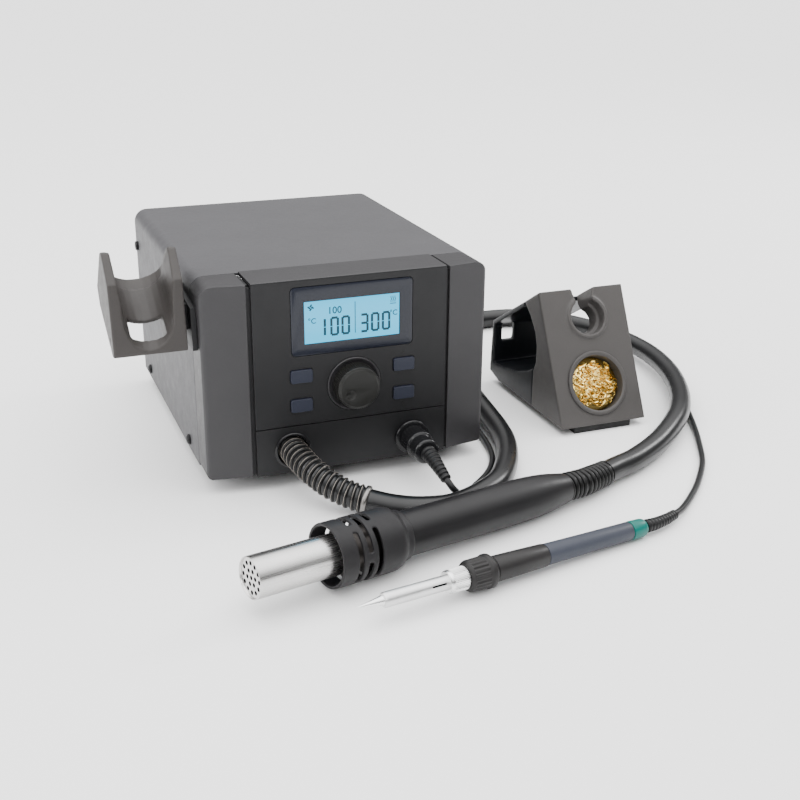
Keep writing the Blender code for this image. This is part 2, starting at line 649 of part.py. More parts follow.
def build_handpiece():
    """Nozzle tube with its perforated end, heater, slotted guard, handle and hose relief."""
    tool, length = axis_empty("handpiece_axis", HANDPIECE_TAIL, HANDPIECE_MOUTH)

    def back(distance):
        """Height on the tool's axis, from the distance behind the nozzle's mouth."""
        return length - distance

    wall = 0.8
    nozzle = [(NOZZLE_R - wall, back(0)), (NOZZLE_R - 0.3, back(0)), (NOZZLE_R, back(0.6)),
              (NOZZLE_R, back(90)), (NOZZLE_R - wall, back(90))]
    turned("nozzle_tube", nozzle, "steel", tool, ring=True, steps=28)
    disc = rod("nozzle_diffuser", NOZZLE_R - wall - GAP, back(3.0), back(1.0), "steel", tool, steps=28)
    for ring_r, count in ((3.4, 5), (7.4, 10)):
        for number in range(count):
            angle = 2 * math.pi * number / count + 0.13
            hole = rod(f"cut_air_hole_{count}_{number}", 1.1, back(6), back(-2), parent=tool, steps=6,
                       cutter=True)
            hole.location = metres((ring_r * math.cos(angle), ring_r * math.sin(angle), 0))
            combine(disc, hole)
    rod("heater_core", 7.6, back(88), back(10), "ceramic", tool, steps=16)
    build_guard(tool, back)

    shell, front = 2.2, GUARD_END + GAP
    outer = [(13.0, back(front)), (13.0, back(125)), (13.2, back(165)), (12.9, back(191)), (12.0, back(204)),
             (10.6, back(212)), (9.0, 0)]
    inner = [(6.8, 0), (6.8, 14), (13.0 - shell - 0.4, back(190)), (13.0 - shell, back(125)),
             (13.0 - shell, back(front))]
    turned("handle_shell", outer + inner, "grip_black", tool, ring=True, steps=32)
    tail = Vector(HANDPIECE_TAIL)
    along = (tail - Vector(HANDPIECE_MOUTH)).normalized()
    route = smooth_route([tail + along * GAP, tail + along * 8, tail + along * 18, RELIEF_END], 7)
    return tube("hose_relief", route, RELIEF_R, "hose_black", end_radius=RELIEF_END_R, resolution=4)


def build_guard(tool, back):
    """Guard round the heater: a ring open at the front, with three rows of long slots."""
    skin, lip = 1.8, 1.2
    outer = [(GUARD_R - skin, back(GUARD_START)), (GUARD_R - lip, back(GUARD_START)),
             (GUARD_R, back(GUARD_START + lip)), (GUARD_R, back(GUARD_SHOULDER)), (16.4, back(89.5)),
             (GUARD_NECK_R, back(92)), (GUARD_NECK_R, back(GUARD_END))]
    inner = [(GUARD_NECK_R - skin, back(GUARD_END)), (GUARD_NECK_R - skin, back(91)),
             (GUARD_R - skin, back(GUARD_SHOULDER + 0.5))]
    guard = turned("heater_guard", outer + inner, "grip_black", tool, ring=True, steps=30)
    half_slot, slot_w, pitch, first = 52, 3.5, 6.0, 56.0
    sector = (arc(0, 0, GUARD_R + 4, -half_slot, half_slot, 3)
              + arc(0, 0, GUARD_R - 4, half_slot, -half_slot, 3))
    for row in range(3):
        start = first + pitch * row
        for number in range(3):
            slot = prism(f"cut_guard_{row}_{number}", sector, "Z", back(start + slot_w), back(start),
                         parent=tool, cutter=True)
            slot.rotation_euler = (0, 0, math.radians(120 * number + 60 * (row % 2) + 7))
            combine(guard, slot)
    return guard


# ---------------------------------------------------------------- soldering iron

def build_iron():
    """Tip, slotted sleeve, knurled nut, ribbed nut, two-part grip, coloured ring and cord boot."""
    tool, length = axis_empty("iron_axis", IRON_TAIL, IRON_TIP)

    def back(distance):
        return length - distance

    tip = [(0, back(0)), (0.5, back(0.3)), (2.7, back(14)), (2.7, back(40)), (0, back(40))]
    turned("iron_tip", tip, "tip_plating", tool, steps=16)
    sleeve = [(3.1, back(15)), (3.6, back(15)), (4.15, back(15.6)), (4.15, back(55.2)), (5.2, back(55.2)),
              (5.2, back(56.5)), (3.1, back(56.5))]
    sleeve = turned("tip_sleeve", sleeve, "steel", tool, ring=True, steps=24)
    for number in range(4):
        turn = math.radians(25 + 90 * number)
        slot = box(f"cut_sleeve_{number}", (2, -0.5, back(52)), (7, 0.5, back(43)), parent=tool, cutter=True)
        slot.location = Euler((0, 0, turn)).to_matrix() @ slot.location
        slot.rotation_euler = (0, 0, turn)
        combine(sleeve, slot)
    nut = [(4.5, back(54.0)), (6.0, back(54.0)), (6.4, back(54.8)), (6.4, back(66)), (5.6, back(66)),
           (5.6, back(54.8)), (4.5, back(54.8))]
    turned("sleeve_nut", nut, "bright_nickel", tool, ring=True, steps=24)
    collar = [(4.0, back(66.3)), (7.6, back(66.3)), (8.6, back(68)), (8.9, back(78.4)), (9.5, back(79)),
              (9.5, back(82)), (7.5, back(84)), (4.0, back(84))]
    turned("grip_nut", collar, "grip_black", tool, ring=True, steps=28)
    front = [(4.4, back(84.3)), (7.2, back(84.3)), (6.9, back(110)), (6.5, back(119.5)), (4.4, back(119.5))]
    turned("front_grip", front, "grip_black", tool, ring=True, steps=24)
    rear = [(4.4, back(119.8)), (6.1, back(119.8)), (5.8, back(150)), (5.6, back(182.2)), (4.4, back(182.2))]
    turned("rear_grip", rear, "grip_slate", tool, ring=True, steps=24)
    cap = [(3.0, back(182.5)), (5.7, back(182.5)), (5.5, back(192)), (4.6, back(194)), (3.0, back(194))]
    turned("end_ring", cap, "teal", tool, ring=True, steps=24)
    start = Vector(IRON_TAIL)
    along = (Vector(IRON_TAIL) - Vector(IRON_TIP)).normalized()
    bend = Vector(BOOT_END) - Vector((9.0, 4.4, 0.5))
    points = smooth_route([start + along * GAP, start + along * 8, bend, BOOT_END], 7)
    return tube("iron_boot", points, 3.9, "hose_black", end_radius=2.9, resolution=3)


# ---------------------------------------------------------------- iron stand

def face_point(up):
    """(Y, Z) of a point on the stand's sloping face, from the distance up it."""
    (y0, z0), (y1, z1) = STAND_FACE_FOOT, STAND_FACE_TOP
    share = up / math.hypot(y1 - y0, z1 - z0)
    return y0 + (y1 - y0) * share, z0 + (z1 - z0) * share


def face_normal():
    (y0, z0), (y1, z1) = STAND_FACE_FOOT, STAND_FACE_TOP
    slope = math.atan2(z1 - z0, y1 - y0)
    return Vector((0, -math.sin(slope), math.cos(slope)))


def build_stand_front():
    """Grey front moulding: sloping face, holster bore notched from the top, and the wool cup's hole."""
    low_x, high_x = STAND_X
    outline = [STAND_FACE_FOOT, (54.0, STAND_FLOOR), (54.0, 33.0), (50.8, 40.0), (50.6, 52.0), (54.0, 62.0),
               (62.0, 71.5), STAND_CREST, STAND_FACE_TOP]
    front = prism("stand_front", outline, "X", low_x, high_x, "stand_grey")
    hollow = [(9.9, 6.5), (51.0, 6.5), (51.0, 31.5), (47.6, 38.5), (47.6, 51.0), (36.5, 56.5)]
    combine(front, prism("cut_front_hollow", hollow, "X", low_x + 2.4, high_x - 2.4, cutter=True))
    normal = face_normal()
    bore_at = (STAND_AXIS_X, *face_point(STAND_BORE_AT))
    cup_at = (STAND_AXIS_X - STAND_CUP_SHIFT, *face_point(STAND_CUP_AT))
    ring = rod("bore_ring_cut", STAND_BORE_R + 2.8, -3, 1.6, at=bore_at, axis=normal, steps=28, cutter=True)
    combine(front, ring, "UNION")
    throat_r = STAND_BORE_R - 2.6
    stepped = [(0, 6), (STAND_BORE_R, 6), (STAND_BORE_R, -6.5), (throat_r, -6.5), (throat_r, -50), (0, -50)]
    combine(front, turned("cut_bore", stepped, at=bore_at, axis=normal, steps=28, cutter=True))
    combine(front, rod("cut_cup", STAND_CUP_R + 1.6 + GAP, -STAND_CUP_DEPTH - GAP, 6, at=cup_at, axis=normal,
                       steps=28, cutter=True))
    slot = [(-9.9, 26), (-7.3, 14), (-7.3, 0), (6.1, 0), (6.1, 14), (9.9, 26)]
    notch = prism("cut_notch", slot, "Z", -50, 6, cutter=True)
    across = Vector((1, 0, 0))
    frame = Matrix((across, normal.cross(across), normal)).transposed()
    notch.rotation_euler = frame.to_euler()
    notch.location = metres(Vector(bore_at) + normal * -22)
    return combine(front, notch)


def build_stand_rear():
    """Dark rear shell: a low tray and the band that rises at the back and folds up to the crest."""
    low_x, high_x = STAND_X
    sides = [(54.4, STAND_FLOOR), (54.4, 34.5), (62.0, 30.0), (80.0, 23.5), (100.0, 19.5), (119.4, 17.2)]
    band = [(120.1, 48.2), (71.0, 76.6), (72.85, 79.65), (123.6, 50.2), (126.5, 8.6), (109.8, STAND_FLOOR)]
    rear = prism("stand_rear", sides + band, "X", low_x + 0.4, high_x - 0.4, "black_plastic")
    combine(rear, box("cut_rear_hollow", (low_x + 3.4, 58.0, 1.0), (high_x - 3.4, 106.0, 14.5), cutter=True))
    combine(rear, box("cut_rear_slot", REAR_SLOT[0], REAR_SLOT[1], cutter=True))
    return rear


def build_wool_cup():
    """Round cup set into the face, holding the brass wool."""
    normal = face_normal()
    at = (STAND_AXIS_X - STAND_CUP_SHIFT, *face_point(STAND_CUP_AT))
    r = STAND_CUP_R
    floor = 0.8 - STAND_CUP_DEPTH
    cup = [(0, floor), (r, floor), (r, 1.6), (r + 2.4, 1.6), (r + 3.3, 1.0), (r + 3.3, GAP), (r + 1.6, GAP),
           (r + 1.6, -STAND_CUP_DEPTH), (0, -STAND_CUP_DEPTH)]
    turned("wool_cup", cup, "stand_grey", at=at, axis=normal, steps=32)
    wool = [(0, 1.0), (8.0, 0.6), (14.0, -0.8), (17.6, -2.6), (r - 0.8, -5.0), (r - 0.8, floor + GAP),
            (0, floor + GAP)]
    turned("brass_wool", wool, "brass", at=at, axis=normal, steps=24)


def build_stand_pad():
    return box("stand_pad", (170.0, 7.5, 0), (215.0, 105.0, STAND_FLOOR - GAP), "black_plastic")


# ---------------------------------------------------------------- hose and cord

SPRING_ROUTE = [
    (-40.0, 0.3, 25.4), (-40.0, -8.0, 25.4), (-38.8, -19.0, 24.2), (-35.0, -31.0, 20.8), (-28.0, -43.0, 16.2),
    (-19.0, -52.0, 12.2), (-13.2, -56.4, 10.4), (-10.0, -58.6, 9.6),
]
HOSE_ROUTE = [
    (-9.3, -59.09, 9.44), (-6.2, -61.2, 8.8), (4.0, -69.0, 7.8), (16.6, -76.4, 7.7), (31.6, -80.0, 7.7),
    (44.5, -78.2, 7.7), (61.7, -70.4, 7.7), (79.0, -58.0, 7.7), (93.4, -38.6, 7.7), (103.6, -19.3, 7.7),
    (110.0, -2.6, 7.7), (114.2, 14.0, 7.7), (117.6, 34.0, 7.7), (124.0, 78.0, 7.7), (130.0, 112.0, 7.7),
    (137.0, 150.0, 7.7), (147.0, 190.0, 7.7), (167.0, 226.0, 7.7), (198.0, 246.0, 7.7), (234.0, 246.0, 7.7),
    (264.0, 227.0, 8.2), (283.0, 194.0, 9.2), (292.5, 156.0, 10.6), (294.5, 119.0, 11.6), (289.6, 85.0, 12.2),
    (280.0, 53.0, 12.2), (264.2, 19.8, 12.2), (246.0, -6.8, 12.0), (226.5, -26.5, 10.8), (202.5, -45.4, 9.0),
    (176.0, -61.2, 8.4), (158.0, -69.0, 8.8), (150.0, -72.73, 9.1), (146.3, -74.43, 9.18),
]
PLUG_BOOT_ROUTE = [
    (40.0, -34.6, 23.2), (40.0, -40.0, 22.9), (40.2, -51.0, 20.5), (41.0, -60.0, 17.2), (41.3, -62.4, 16.2),
]
CORD_ROUTE = [
    (41.7, -64.3, 15.4), (42.8, -66.3, 13.3), (45.4, -67.2, 10.0), (50.0, -65.4, 5.8), (56.0, -60.4, 3.0),
    (61.5, -54.6, 2.3), (66.5, -49.6, 2.3), (73.5, -43.6, 2.3), (81.5, -35.8, 2.3), (88.8, -26.2, 2.3),
    (94.8, -15.4, 2.3), (99.2, -3.4, 2.3), (102.6, 11.0, 2.3), (105.4, 28.0, 2.3), (110.5, 66.0, 2.3),
    (117.0, 110.0, 2.3), (124.0, 152.0, 2.3), (134.0, 194.0, 2.3), (156.0, 235.0, 2.3), (194.0, 259.5, 2.3),
    (238.0, 259.0, 2.3), (275.0, 238.0, 2.3), (298.0, 204.0, 2.3), (307.5, 166.0, 2.3), (310.0, 134.0, 2.3),
    (305.5, 101.0, 2.3), (295.5, 72.0, 2.3), (281.5, 43.0, 2.3), (270.3, 19.5, 2.3), (260.8, -1.0, 2.3),
    (250.9, -21.5, 2.3), (239.3, -43.1, 2.3), (226.0, -66.0, 2.3), (213.0, -83.0, 2.3), (198.0, -99.8, 2.3),
    (182.5, -114.6, 2.5), (171.0, -124.6, 3.3), (164.0, -129.6, 4.2), (161.7, -131.07, 4.45),
]


def build_hose():
    """Air hose: the spring round its first stretch, then the hose itself to the handpiece."""
    tube("outlet_spring", smooth_route(SPRING_ROUTE, 12), SPRING_R, "hose_black", resolution=4)
    tube("air_hose", smooth_route(HOSE_ROUTE, HOSE_POINTS), HOSE_R, "hose_black")


def build_cord():
    """Iron's cord: the plug in the station's socket, its boot, and the cord to the iron."""
    x, z = IRON_PORT
    plug = [(0, 28.5), (7.6, 28.5), (8.3, 27.6), (8.3, 24.4), (7.6, 23.6), (7.9, 17.6), (9.3, 17.0),
            (9.3, 14.2), (8.4, 13.6), (8.9, 4.2), (8.6, 3.5), (6.0, 3.5), (6.0, -9.4), (0, -9.4)]
    turned("iron_plug", plug, "black_plastic", at=(x, PANEL_FRONT, z), axis=(0, -1, 0), steps=24)
    tube("plug_boot", smooth_route(PLUG_BOOT_ROUTE, 7), 5.2, "hose_black", end_radius=3.1, resolution=3)
    tube("iron_cord", smooth_route(CORD_ROUTE, CORD_POINTS), CORD_R, "hose_black")


def main():
    build_cover()
    build_side_screws()
    build_chassis()
    build_feet()
    build_rear_panel()
    build_inlet()
    build_power_switch()
    build_pillar(-1, "left_pillar")
    build_pillar(1, "right_pillar")
    build_front_panel()
    build_lower_panel()
    build_subframe()
    build_display()
    build_control_board()
    build_knob()
    for name, (x, z) in BUTTONS.items():
        build_button(name, x, z)
    build_ports()
    build_transformer()
    build_air_pump()
    build_holder_plate()
    build_cradle()
    build_handpiece()
    build_iron()
    build_stand_front()
    build_stand_rear()
    build_wool_cup()
    build_stand_pad()
    build_hose()
    build_cord()


clear_scene()
PARTS = make_collection("hot_air_station")
CUTTERS = make_collection("cutters")
MATERIALS = make_materials()
STATION = bpy.data.objects.new("set_origin", None)
PARTS.objects.link(STATION)
STATION.location = metres((-sum(SET_X) / 2, -sum(SET_Y) / 2, 0))
main()
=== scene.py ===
# Looks of a two-tool bench rework station: station, hot air handpiece on its hose, soldering iron on its
# cord and the iron stand. Everything is in metres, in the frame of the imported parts.
import math
import random

import bpy
from bpy.props import FloatProperty, FloatVectorProperty, IntProperty, PointerProperty
from mathutils import Matrix, Vector


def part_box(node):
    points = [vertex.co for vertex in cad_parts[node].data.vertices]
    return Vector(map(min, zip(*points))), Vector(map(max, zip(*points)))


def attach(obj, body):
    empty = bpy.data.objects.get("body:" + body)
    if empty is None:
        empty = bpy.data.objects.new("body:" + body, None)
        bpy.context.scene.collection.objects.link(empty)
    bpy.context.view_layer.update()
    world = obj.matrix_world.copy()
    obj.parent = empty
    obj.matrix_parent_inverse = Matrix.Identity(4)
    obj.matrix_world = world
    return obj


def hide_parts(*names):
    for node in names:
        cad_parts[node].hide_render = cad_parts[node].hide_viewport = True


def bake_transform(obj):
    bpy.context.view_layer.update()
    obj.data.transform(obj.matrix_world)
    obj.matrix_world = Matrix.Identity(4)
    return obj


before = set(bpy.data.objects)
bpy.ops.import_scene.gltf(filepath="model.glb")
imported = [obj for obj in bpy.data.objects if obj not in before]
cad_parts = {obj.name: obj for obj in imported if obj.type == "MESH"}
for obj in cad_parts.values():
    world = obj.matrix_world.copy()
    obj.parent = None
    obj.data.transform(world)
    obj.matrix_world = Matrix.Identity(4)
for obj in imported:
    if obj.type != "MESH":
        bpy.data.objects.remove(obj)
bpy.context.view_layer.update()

bl_info = {
    "name": "Hot Air Station Looks",
    "version": (1, 0, 0),
    "blender": (4, 5, 0),
    "location": "View3D > Sidebar > Station",
    "description": "Builds the visible pieces and finishes of a two-tool rework station",
    "category": "Object",
}

MM = 0.001
# The station's own middle on the bench, and the plane of its front panel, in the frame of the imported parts
STATION_AT = Vector((-0.04125, -0.0231, 0.0))
PANEL_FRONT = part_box("display_window")[0].y
SKIN_CELL = 0.0007            # metres between the points of a smoothed moulding's skin
SKIN_PASSES = 9


# ---------------------------------------------------------------- sizes and colours

def colour(name, text, default):
    return FloatVectorProperty(name=name, description=text, default=default, subtype="COLOR", size=3,
                               min=0.0, max=1.0)


def length(name, text, default):
    return FloatProperty(name=name, description=text, default=default, unit="LENGTH", subtype="DISTANCE",
                         min=0.0)


class StationColours(bpy.types.PropertyGroup):
    casing: colour("Casing", "Painted cover, base and back", (0.066, 0.065, 0.069))
    pillars: colour("Pillars", "Corner mouldings at the front", (0.034, 0.033, 0.035))
    panel: colour("Panel", "Front panels", (0.0105, 0.0105, 0.0115))
    window: colour("Window", "Dark surround of the display", (0.012, 0.014, 0.022))
    display: colour("Display", "Lit display", (0.07, 0.62, 1.0))
    digits: colour("Digits", "Dark segments of the display", (0.004, 0.045, 0.070))
    keys: colour("Keys", "Key caps", (0.019, 0.022, 0.036))
    knob: colour("Knob", "Ribbed knob", (0.012, 0.012, 0.011))
    holder: colour("Holder", "Handpiece cradle", (0.042, 0.038, 0.036))
    handle: colour("Handle", "Handpiece grip and guard", (0.0075, 0.0070, 0.0078))
    front_grip: colour("Front grip", "Iron's front grip", (0.013, 0.012, 0.012))
    rear_grip: colour("Rear grip", "Iron's rear grip", (0.036, 0.040, 0.054))
    end_ring: colour("End ring", "Coloured ring at the iron's end", (0.000, 0.115, 0.095))
    stand_face: colour("Stand face", "Front moulding of the iron stand", (0.062, 0.058, 0.056))
    stand_back: colour("Stand back", "Rear shell of the iron stand", (0.005, 0.006, 0.008))
    wool: colour("Wool", "Brass wool", (0.86, 0.63, 0.20))


class StationSizes(bpy.types.PropertyGroup):
    edge_round: length("Edge rounding", "Rounding of the moulded casing's edges", 0.0006)
    hose_radius: length("Hose radius", "Outer radius of the air hose", 0.0075)
    coil_pitch: length("Coil pitch", "Distance between the outlet spring's turns", 0.0041)
    coil_wire: length("Coil wire", "Radius of the outlet spring's wire", 0.00135)
    cord_radius: length("Cord radius", "Outer radius of the iron's cord", 0.0021)
    knob_ribs: IntProperty(name="Knob ribs", description="Ribs round the knob", default=66, min=12, max=120)
    nut_ribs: IntProperty(name="Nut ribs", description="Ribs round the iron's nut", default=22, min=6, max=60)
    wool_strands: IntProperty(name="Wool strands", description="Ribbons of brass in the cup", default=46,
                              min=1, max=120)


# ---------------------------------------------------------------- shader groups and materials

def new_group(name, inputs, outputs):
    """A shader group with named sockets: (name, kind, default) going in, (name, kind) coming out."""
    group = bpy.data.node_groups.new(name, "ShaderNodeTree")
    for label, kind, default in inputs:
        socket = group.interface.new_socket(label, in_out="INPUT", socket_type=kind)
        if default is not None:
            socket.default_value = default
    for label, kind in outputs:
        group.interface.new_socket(label, in_out="OUTPUT", socket_type=kind)
    return group, group.nodes.new("NodeGroupInput"), group.nodes.new("NodeGroupOutput")


def node(tree, kind, links=(), **values):
    """A node with its settings, its inputs' values by name, and (source socket, input name) links."""
    made = tree.nodes.new(kind)
    for name, value in values.items():
        if name in made.inputs:
            made.inputs[name].default_value = value
        else:
            setattr(made, name, value)
    for source, name in links:
        tree.links.new(source, made.inputs[name])
    return made


def ranged(tree, source, low, high, start=0.3, end=0.7):
    """A noise value spread from low to high."""
    made = tree.nodes.new("ShaderNodeMapRange")
    tree.links.new(source, made.inputs["Value"])
    for name, value in (("From Min", start), ("From Max", end), ("To Min", low), ("To Max", high)):
        made.inputs[name].default_value = value
    return made.outputs["Result"]


def tinted(tree, colour_socket, factor_socket):
    """A colour multiplied by a grey value."""
    mix = tree.nodes.new("ShaderNodeVectorMath")
    mix.operation = "SCALE"
    tree.links.new(colour_socket, mix.inputs[0])
    tree.links.new(factor_socket, mix.inputs["Scale"])
    return mix.outputs[0]


def grain_group():
    """Moulded or painted surface: fine grain, slow colour drift, and handling marks in its gloss."""
    group, given, out = new_group(
        "Moulded grain",
        [("Color", "NodeSocketColor", (0.5, 0.5, 0.5, 1)), ("Grain size", "NodeSocketFloat", 1500.0),
         ("Grain depth", "NodeSocketFloat", 0.1), ("Drift", "NodeSocketFloat", 0.1),
         ("Roughness", "NodeSocketFloat", 0.5)],
        [("Color", "NodeSocketColor"), ("Roughness", "NodeSocketFloat"), ("Normal", "NodeSocketVector")])
    place = node(group, "ShaderNodeTexCoord").outputs["Object"]
    fine = node(group, "ShaderNodeTexNoise", [(place, "Vector"), (given.outputs["Grain size"], "Scale")],
                Detail=3.0, Roughness=0.6)
    broad = node(group, "ShaderNodeTexNoise", [(place, "Vector")], Scale=24.0, Detail=4.0, Roughness=0.65)
    marks = node(group, "ShaderNodeTexNoise", [(place, "Vector")], Scale=130.0, Detail=6.0, Roughness=0.75)
    drift = node(group, "ShaderNodeMath", [(given.outputs["Drift"], 0)], operation="MULTIPLY")
    group.links.new(ranged(group, broad.outputs["Fac"], -1.0, 1.0), drift.inputs[1])
    speckle = node(group, "ShaderNodeMath", [(ranged(group, fine.outputs["Fac"], 0.94, 1.06), 0),
                                             (drift.outputs[0], 1)], operation="ADD")
    group.links.new(tinted(group, given.outputs["Color"], speckle.outputs[0]), out.inputs["Color"])
    gloss = node(group, "ShaderNodeMath", [(given.outputs["Roughness"], 0),
                                           (ranged(group, marks.outputs["Fac"], 0.86, 1.16), 1)],
                 operation="MULTIPLY")
    group.links.new(gloss.outputs[0], out.inputs["Roughness"])
    bump = node(group, "ShaderNodeBump", [(fine.outputs["Fac"], "Height"),
                                          (given.outputs["Grain depth"], "Strength")], Distance=0.0002)
    group.links.new(bump.outputs["Normal"], out.inputs["Normal"])
    return group


def brushed_group():
    """Brushed metal: long scratches along the second coordinate handed in, and faint heat marks."""
    group, given, out = new_group(
        "Brushed metal",
        [("Vector", "NodeSocketVector", None), ("Color", "NodeSocketColor", (0.6, 0.6, 0.6, 1)),
         ("Roughness", "NodeSocketFloat", 0.3), ("Scratch depth", "NodeSocketFloat", 0.1)],
        [("Color", "NodeSocketColor"), ("Roughness", "NodeSocketFloat"), ("Normal", "NodeSocketVector")])
    lines = node(group, "ShaderNodeTexNoise", [(given.outputs["Vector"], "Vector")], Scale=1.0, Detail=4.0,
                 Roughness=0.7)
    place = node(group, "ShaderNodeTexCoord").outputs["Object"]
    marks = node(group, "ShaderNodeTexNoise", [(place, "Vector")], Scale=60.0, Detail=5.0)
    shade = node(group, "ShaderNodeMath", [(ranged(group, lines.outputs["Fac"], 0.9, 1.06), 0),
                                           (ranged(group, marks.outputs["Fac"], 0.94, 1.04), 1)],
                 operation="MULTIPLY")
    group.links.new(tinted(group, given.outputs["Color"], shade.outputs[0]), out.inputs["Color"])
    gloss = node(group, "ShaderNodeMath", [(given.outputs["Roughness"], 0),
                                           (ranged(group, lines.outputs["Fac"], 0.75, 1.3), 1)],
                 operation="MULTIPLY")
    group.links.new(gloss.outputs[0], out.inputs["Roughness"])
    bump = node(group, "ShaderNodeBump", [(lines.outputs["Fac"], "Height"),
                                          (given.outputs["Scratch depth"], "Strength")], Distance=0.0002)
    group.links.new(bump.outputs["Normal"], out.inputs["Normal"])
    return group


def new_material(name, metallic=0.0, coat=0.0):
    material = bpy.data.materials.new(name)
    material.use_nodes = True
    shader = material.node_tree.nodes["Principled BSDF"]
    shader.inputs["Metallic"].default_value = metallic
    shader.inputs["Coat Weight"].default_value = coat
    shader.inputs["Coat Roughness"].default_value = 0.2
    return material, material.node_tree, shader


def feed(tree, group_node, shader):
    for source, name in (("Color", "Base Color"), ("Roughness", "Roughness"), ("Normal", "Normal")):
        tree.links.new(group_node.outputs[source], shader.inputs[name])


def grained(name, color, roughness, size=1500.0, depth=0.12, drift=0.07, metallic=0.0, coat=0.0, shine=0.28):
    """A moulded, painted or rubber finish."""
    _, tree, shader = new_material(name, metallic, coat)
    group = node(tree, "ShaderNodeGroup", node_tree=bpy.data.node_groups["Moulded grain"])
    for label, value in (("Color", (*color, 1.0)), ("Roughness", roughness), ("Grain size", size),
                         ("Grain depth", depth), ("Drift", drift)):
        group.inputs[label].default_value = value
    feed(tree, group, shader)
    shader.inputs["Specular IOR Level"].default_value = shine
    return shader


def brushed(name, color, roughness, along, depth=0.1, reach=14.0, fine=1400.0):
    """A metal finish whose scratches run along a direction of the piece."""
    _, tree, shader = new_material(name, 1.0)
    place = node(tree, "ShaderNodeTexCoord").outputs["Object"]
    turn = Vector(along).to_track_quat("Z", "Y").inverted().to_euler()
    turned_place = node(tree, "ShaderNodeMapping", [(place, "Vector")], Rotation=turn)
    spread = node(tree, "ShaderNodeMapping", [(turned_place.outputs[0], "Vector")], Scale=(fine, fine, reach))
    group = node(tree, "ShaderNodeGroup", [(spread.outputs[0], "Vector")],
                 node_tree=bpy.data.node_groups["Brushed metal"])
    for label, value in (("Color", (*color, 1.0)), ("Roughness", roughness), ("Scratch depth", depth)):
        group.inputs[label].default_value = value
    feed(tree, group, shader)
    return shader


def make_materials(look):
    grain_group()
    brushed_group()
    grained("casing_paint", look.casing, 0.5, 2200.0, 0.15, 0.04)
    grained("pillar_moulding", look.pillars, 0.42, 1800.0, 0.2, 0.05)
    grained("panel_moulding", look.panel, 0.42, 1800.0, 0.12, 0.05)
    grained("dark_frame", (0.010, 0.010, 0.011), 0.5)
    grained("window_tint", look.window, 0.2, 500.0, 0.02, 0.05, coat=0.08)
    grained("key_caps", look.keys, 0.36, 1800.0, 0.1, 0.05)
    grained("panel_signs", (0.012, 0.012, 0.012), 0.5)
    grained("knob_moulding", look.knob, 0.38, 1500.0, 0.12, 0.08)
    grained("glossy_black", (0.009, 0.009, 0.010), 0.24, 900.0, 0.05, 0.1, coat=0.15)
    grained("hose_satin", (0.005, 0.005, 0.0055), 0.3, 500.0, 0.06, 0.15, shine=0.4)
    grained("cord_rubber", (0.005, 0.005, 0.0055), 0.34, 900.0, 0.12, 0.12)
    grained("coil_black", (0.005, 0.005, 0.005), 0.32, 700.0, 0.12, 0.2)
    grained("soft_rubber", (0.013, 0.013, 0.013), 0.7, 1200.0, 0.25, 0.15)
    grained("holder_moulding", look.holder, 0.46, 1700.0, 0.2, 0.05)
    grained("handle_moulding", look.handle, 0.40, 1500.0, 0.14, 0.06)
    grained("guard_moulding", [value * 1.25 for value in look.handle], 0.5, 1500.0, 0.18, 0.06)
    grained("front_grip_rubber", look.front_grip, 0.42, 1500.0, 0.15, 0.06)
    grained("rear_grip_rubber", look.rear_grip, 0.48, 1500.0, 0.18, 0.06)
    grained("ring_plastic", look.end_ring, 0.34, 1500.0, 0.08, 0.05)
    grained("stand_moulding", look.stand_face, 0.46, 1700.0, 0.2, 0.05)
    grained("stand_dark", look.stand_back, 0.36, 1500.0, 0.1, 0.1)
    grained("heater_ceramic", (0.75, 0.73, 0.68), 0.7, 900.0, 0.3, 0.1)
    # Near-black for the walls and floors of shallow holes and slots: painted shade that makes them read as
    # deep openings
    grained("hole_painted_shade", (0.012, 0.011, 0.014), 0.8, 900.0, 0.1, 0.2)
    grained("board_mask", (0.02, 0.15, 0.06), 0.35, 400.0, 0.1, 0.2)
    grained("screw_dark", (0.02, 0.02, 0.021), 0.35, 900.0, 0.1, 0.1, metallic=0.6)
    iron_run, nozzle_run = IRON.col[2].xyz, HANDPIECE.col[2].xyz
    brushed("nozzle_brushed", (0.62, 0.61, 0.60), 0.26, nozzle_run, 0.02)
    # Dark steel for the nozzle's stretch inside the guard: painted shade, so it shows dim through the guard's
    # slots
    brushed("nozzle_painted_shade", (0.075, 0.068, 0.064), 0.42, nozzle_run, 0.02)
    brushed("sleeve_satin", (0.74, 0.74, 0.74), 0.38, iron_run, 0.02, 40.0)
    brushed("tip_bright", (0.90, 0.90, 0.90), 0.25, iron_run, 0.01, 60.0)
    brushed("nut_bright", (0.90, 0.90, 0.90), 0.25, iron_run, 0.02, 60.0)
    # Lighter metal for a fine strand on the spring's outer crest: a painted highlight along the turns
    brushed("spring_crest_highlight", (0.30, 0.27, 0.24), 0.35, (1, 0, 0), 0.05, 200.0)
    brushed("spring_ring", (0.22, 0.21, 0.20), 0.35, (0, 1, 0), 0.1, 900.0)
    brushed("core_steel", (0.35, 0.35, 0.36), 0.4, (1, 0, 0), 0.2, 12.0)
    wool = grained("wool_brass", look.wool, 0.2, 700.0, 0.06, 0.25, metallic=1.0)
    wool.inputs["Specular IOR Level"].default_value = 0.6
    lit = grained("display_glow", [value * 0.1 for value in look.display], 0.2, 600.0, 0.01, 0.015)
    lit.inputs["Emission Color"].default_value = (*look.display, 1.0)
    lit.inputs["Emission Strength"].default_value = 1.5
    grained("display_digits", look.digits, 0.4, 600.0, 0.01, 0.05)


# ---------------------------------------------------------------- modelling helpers

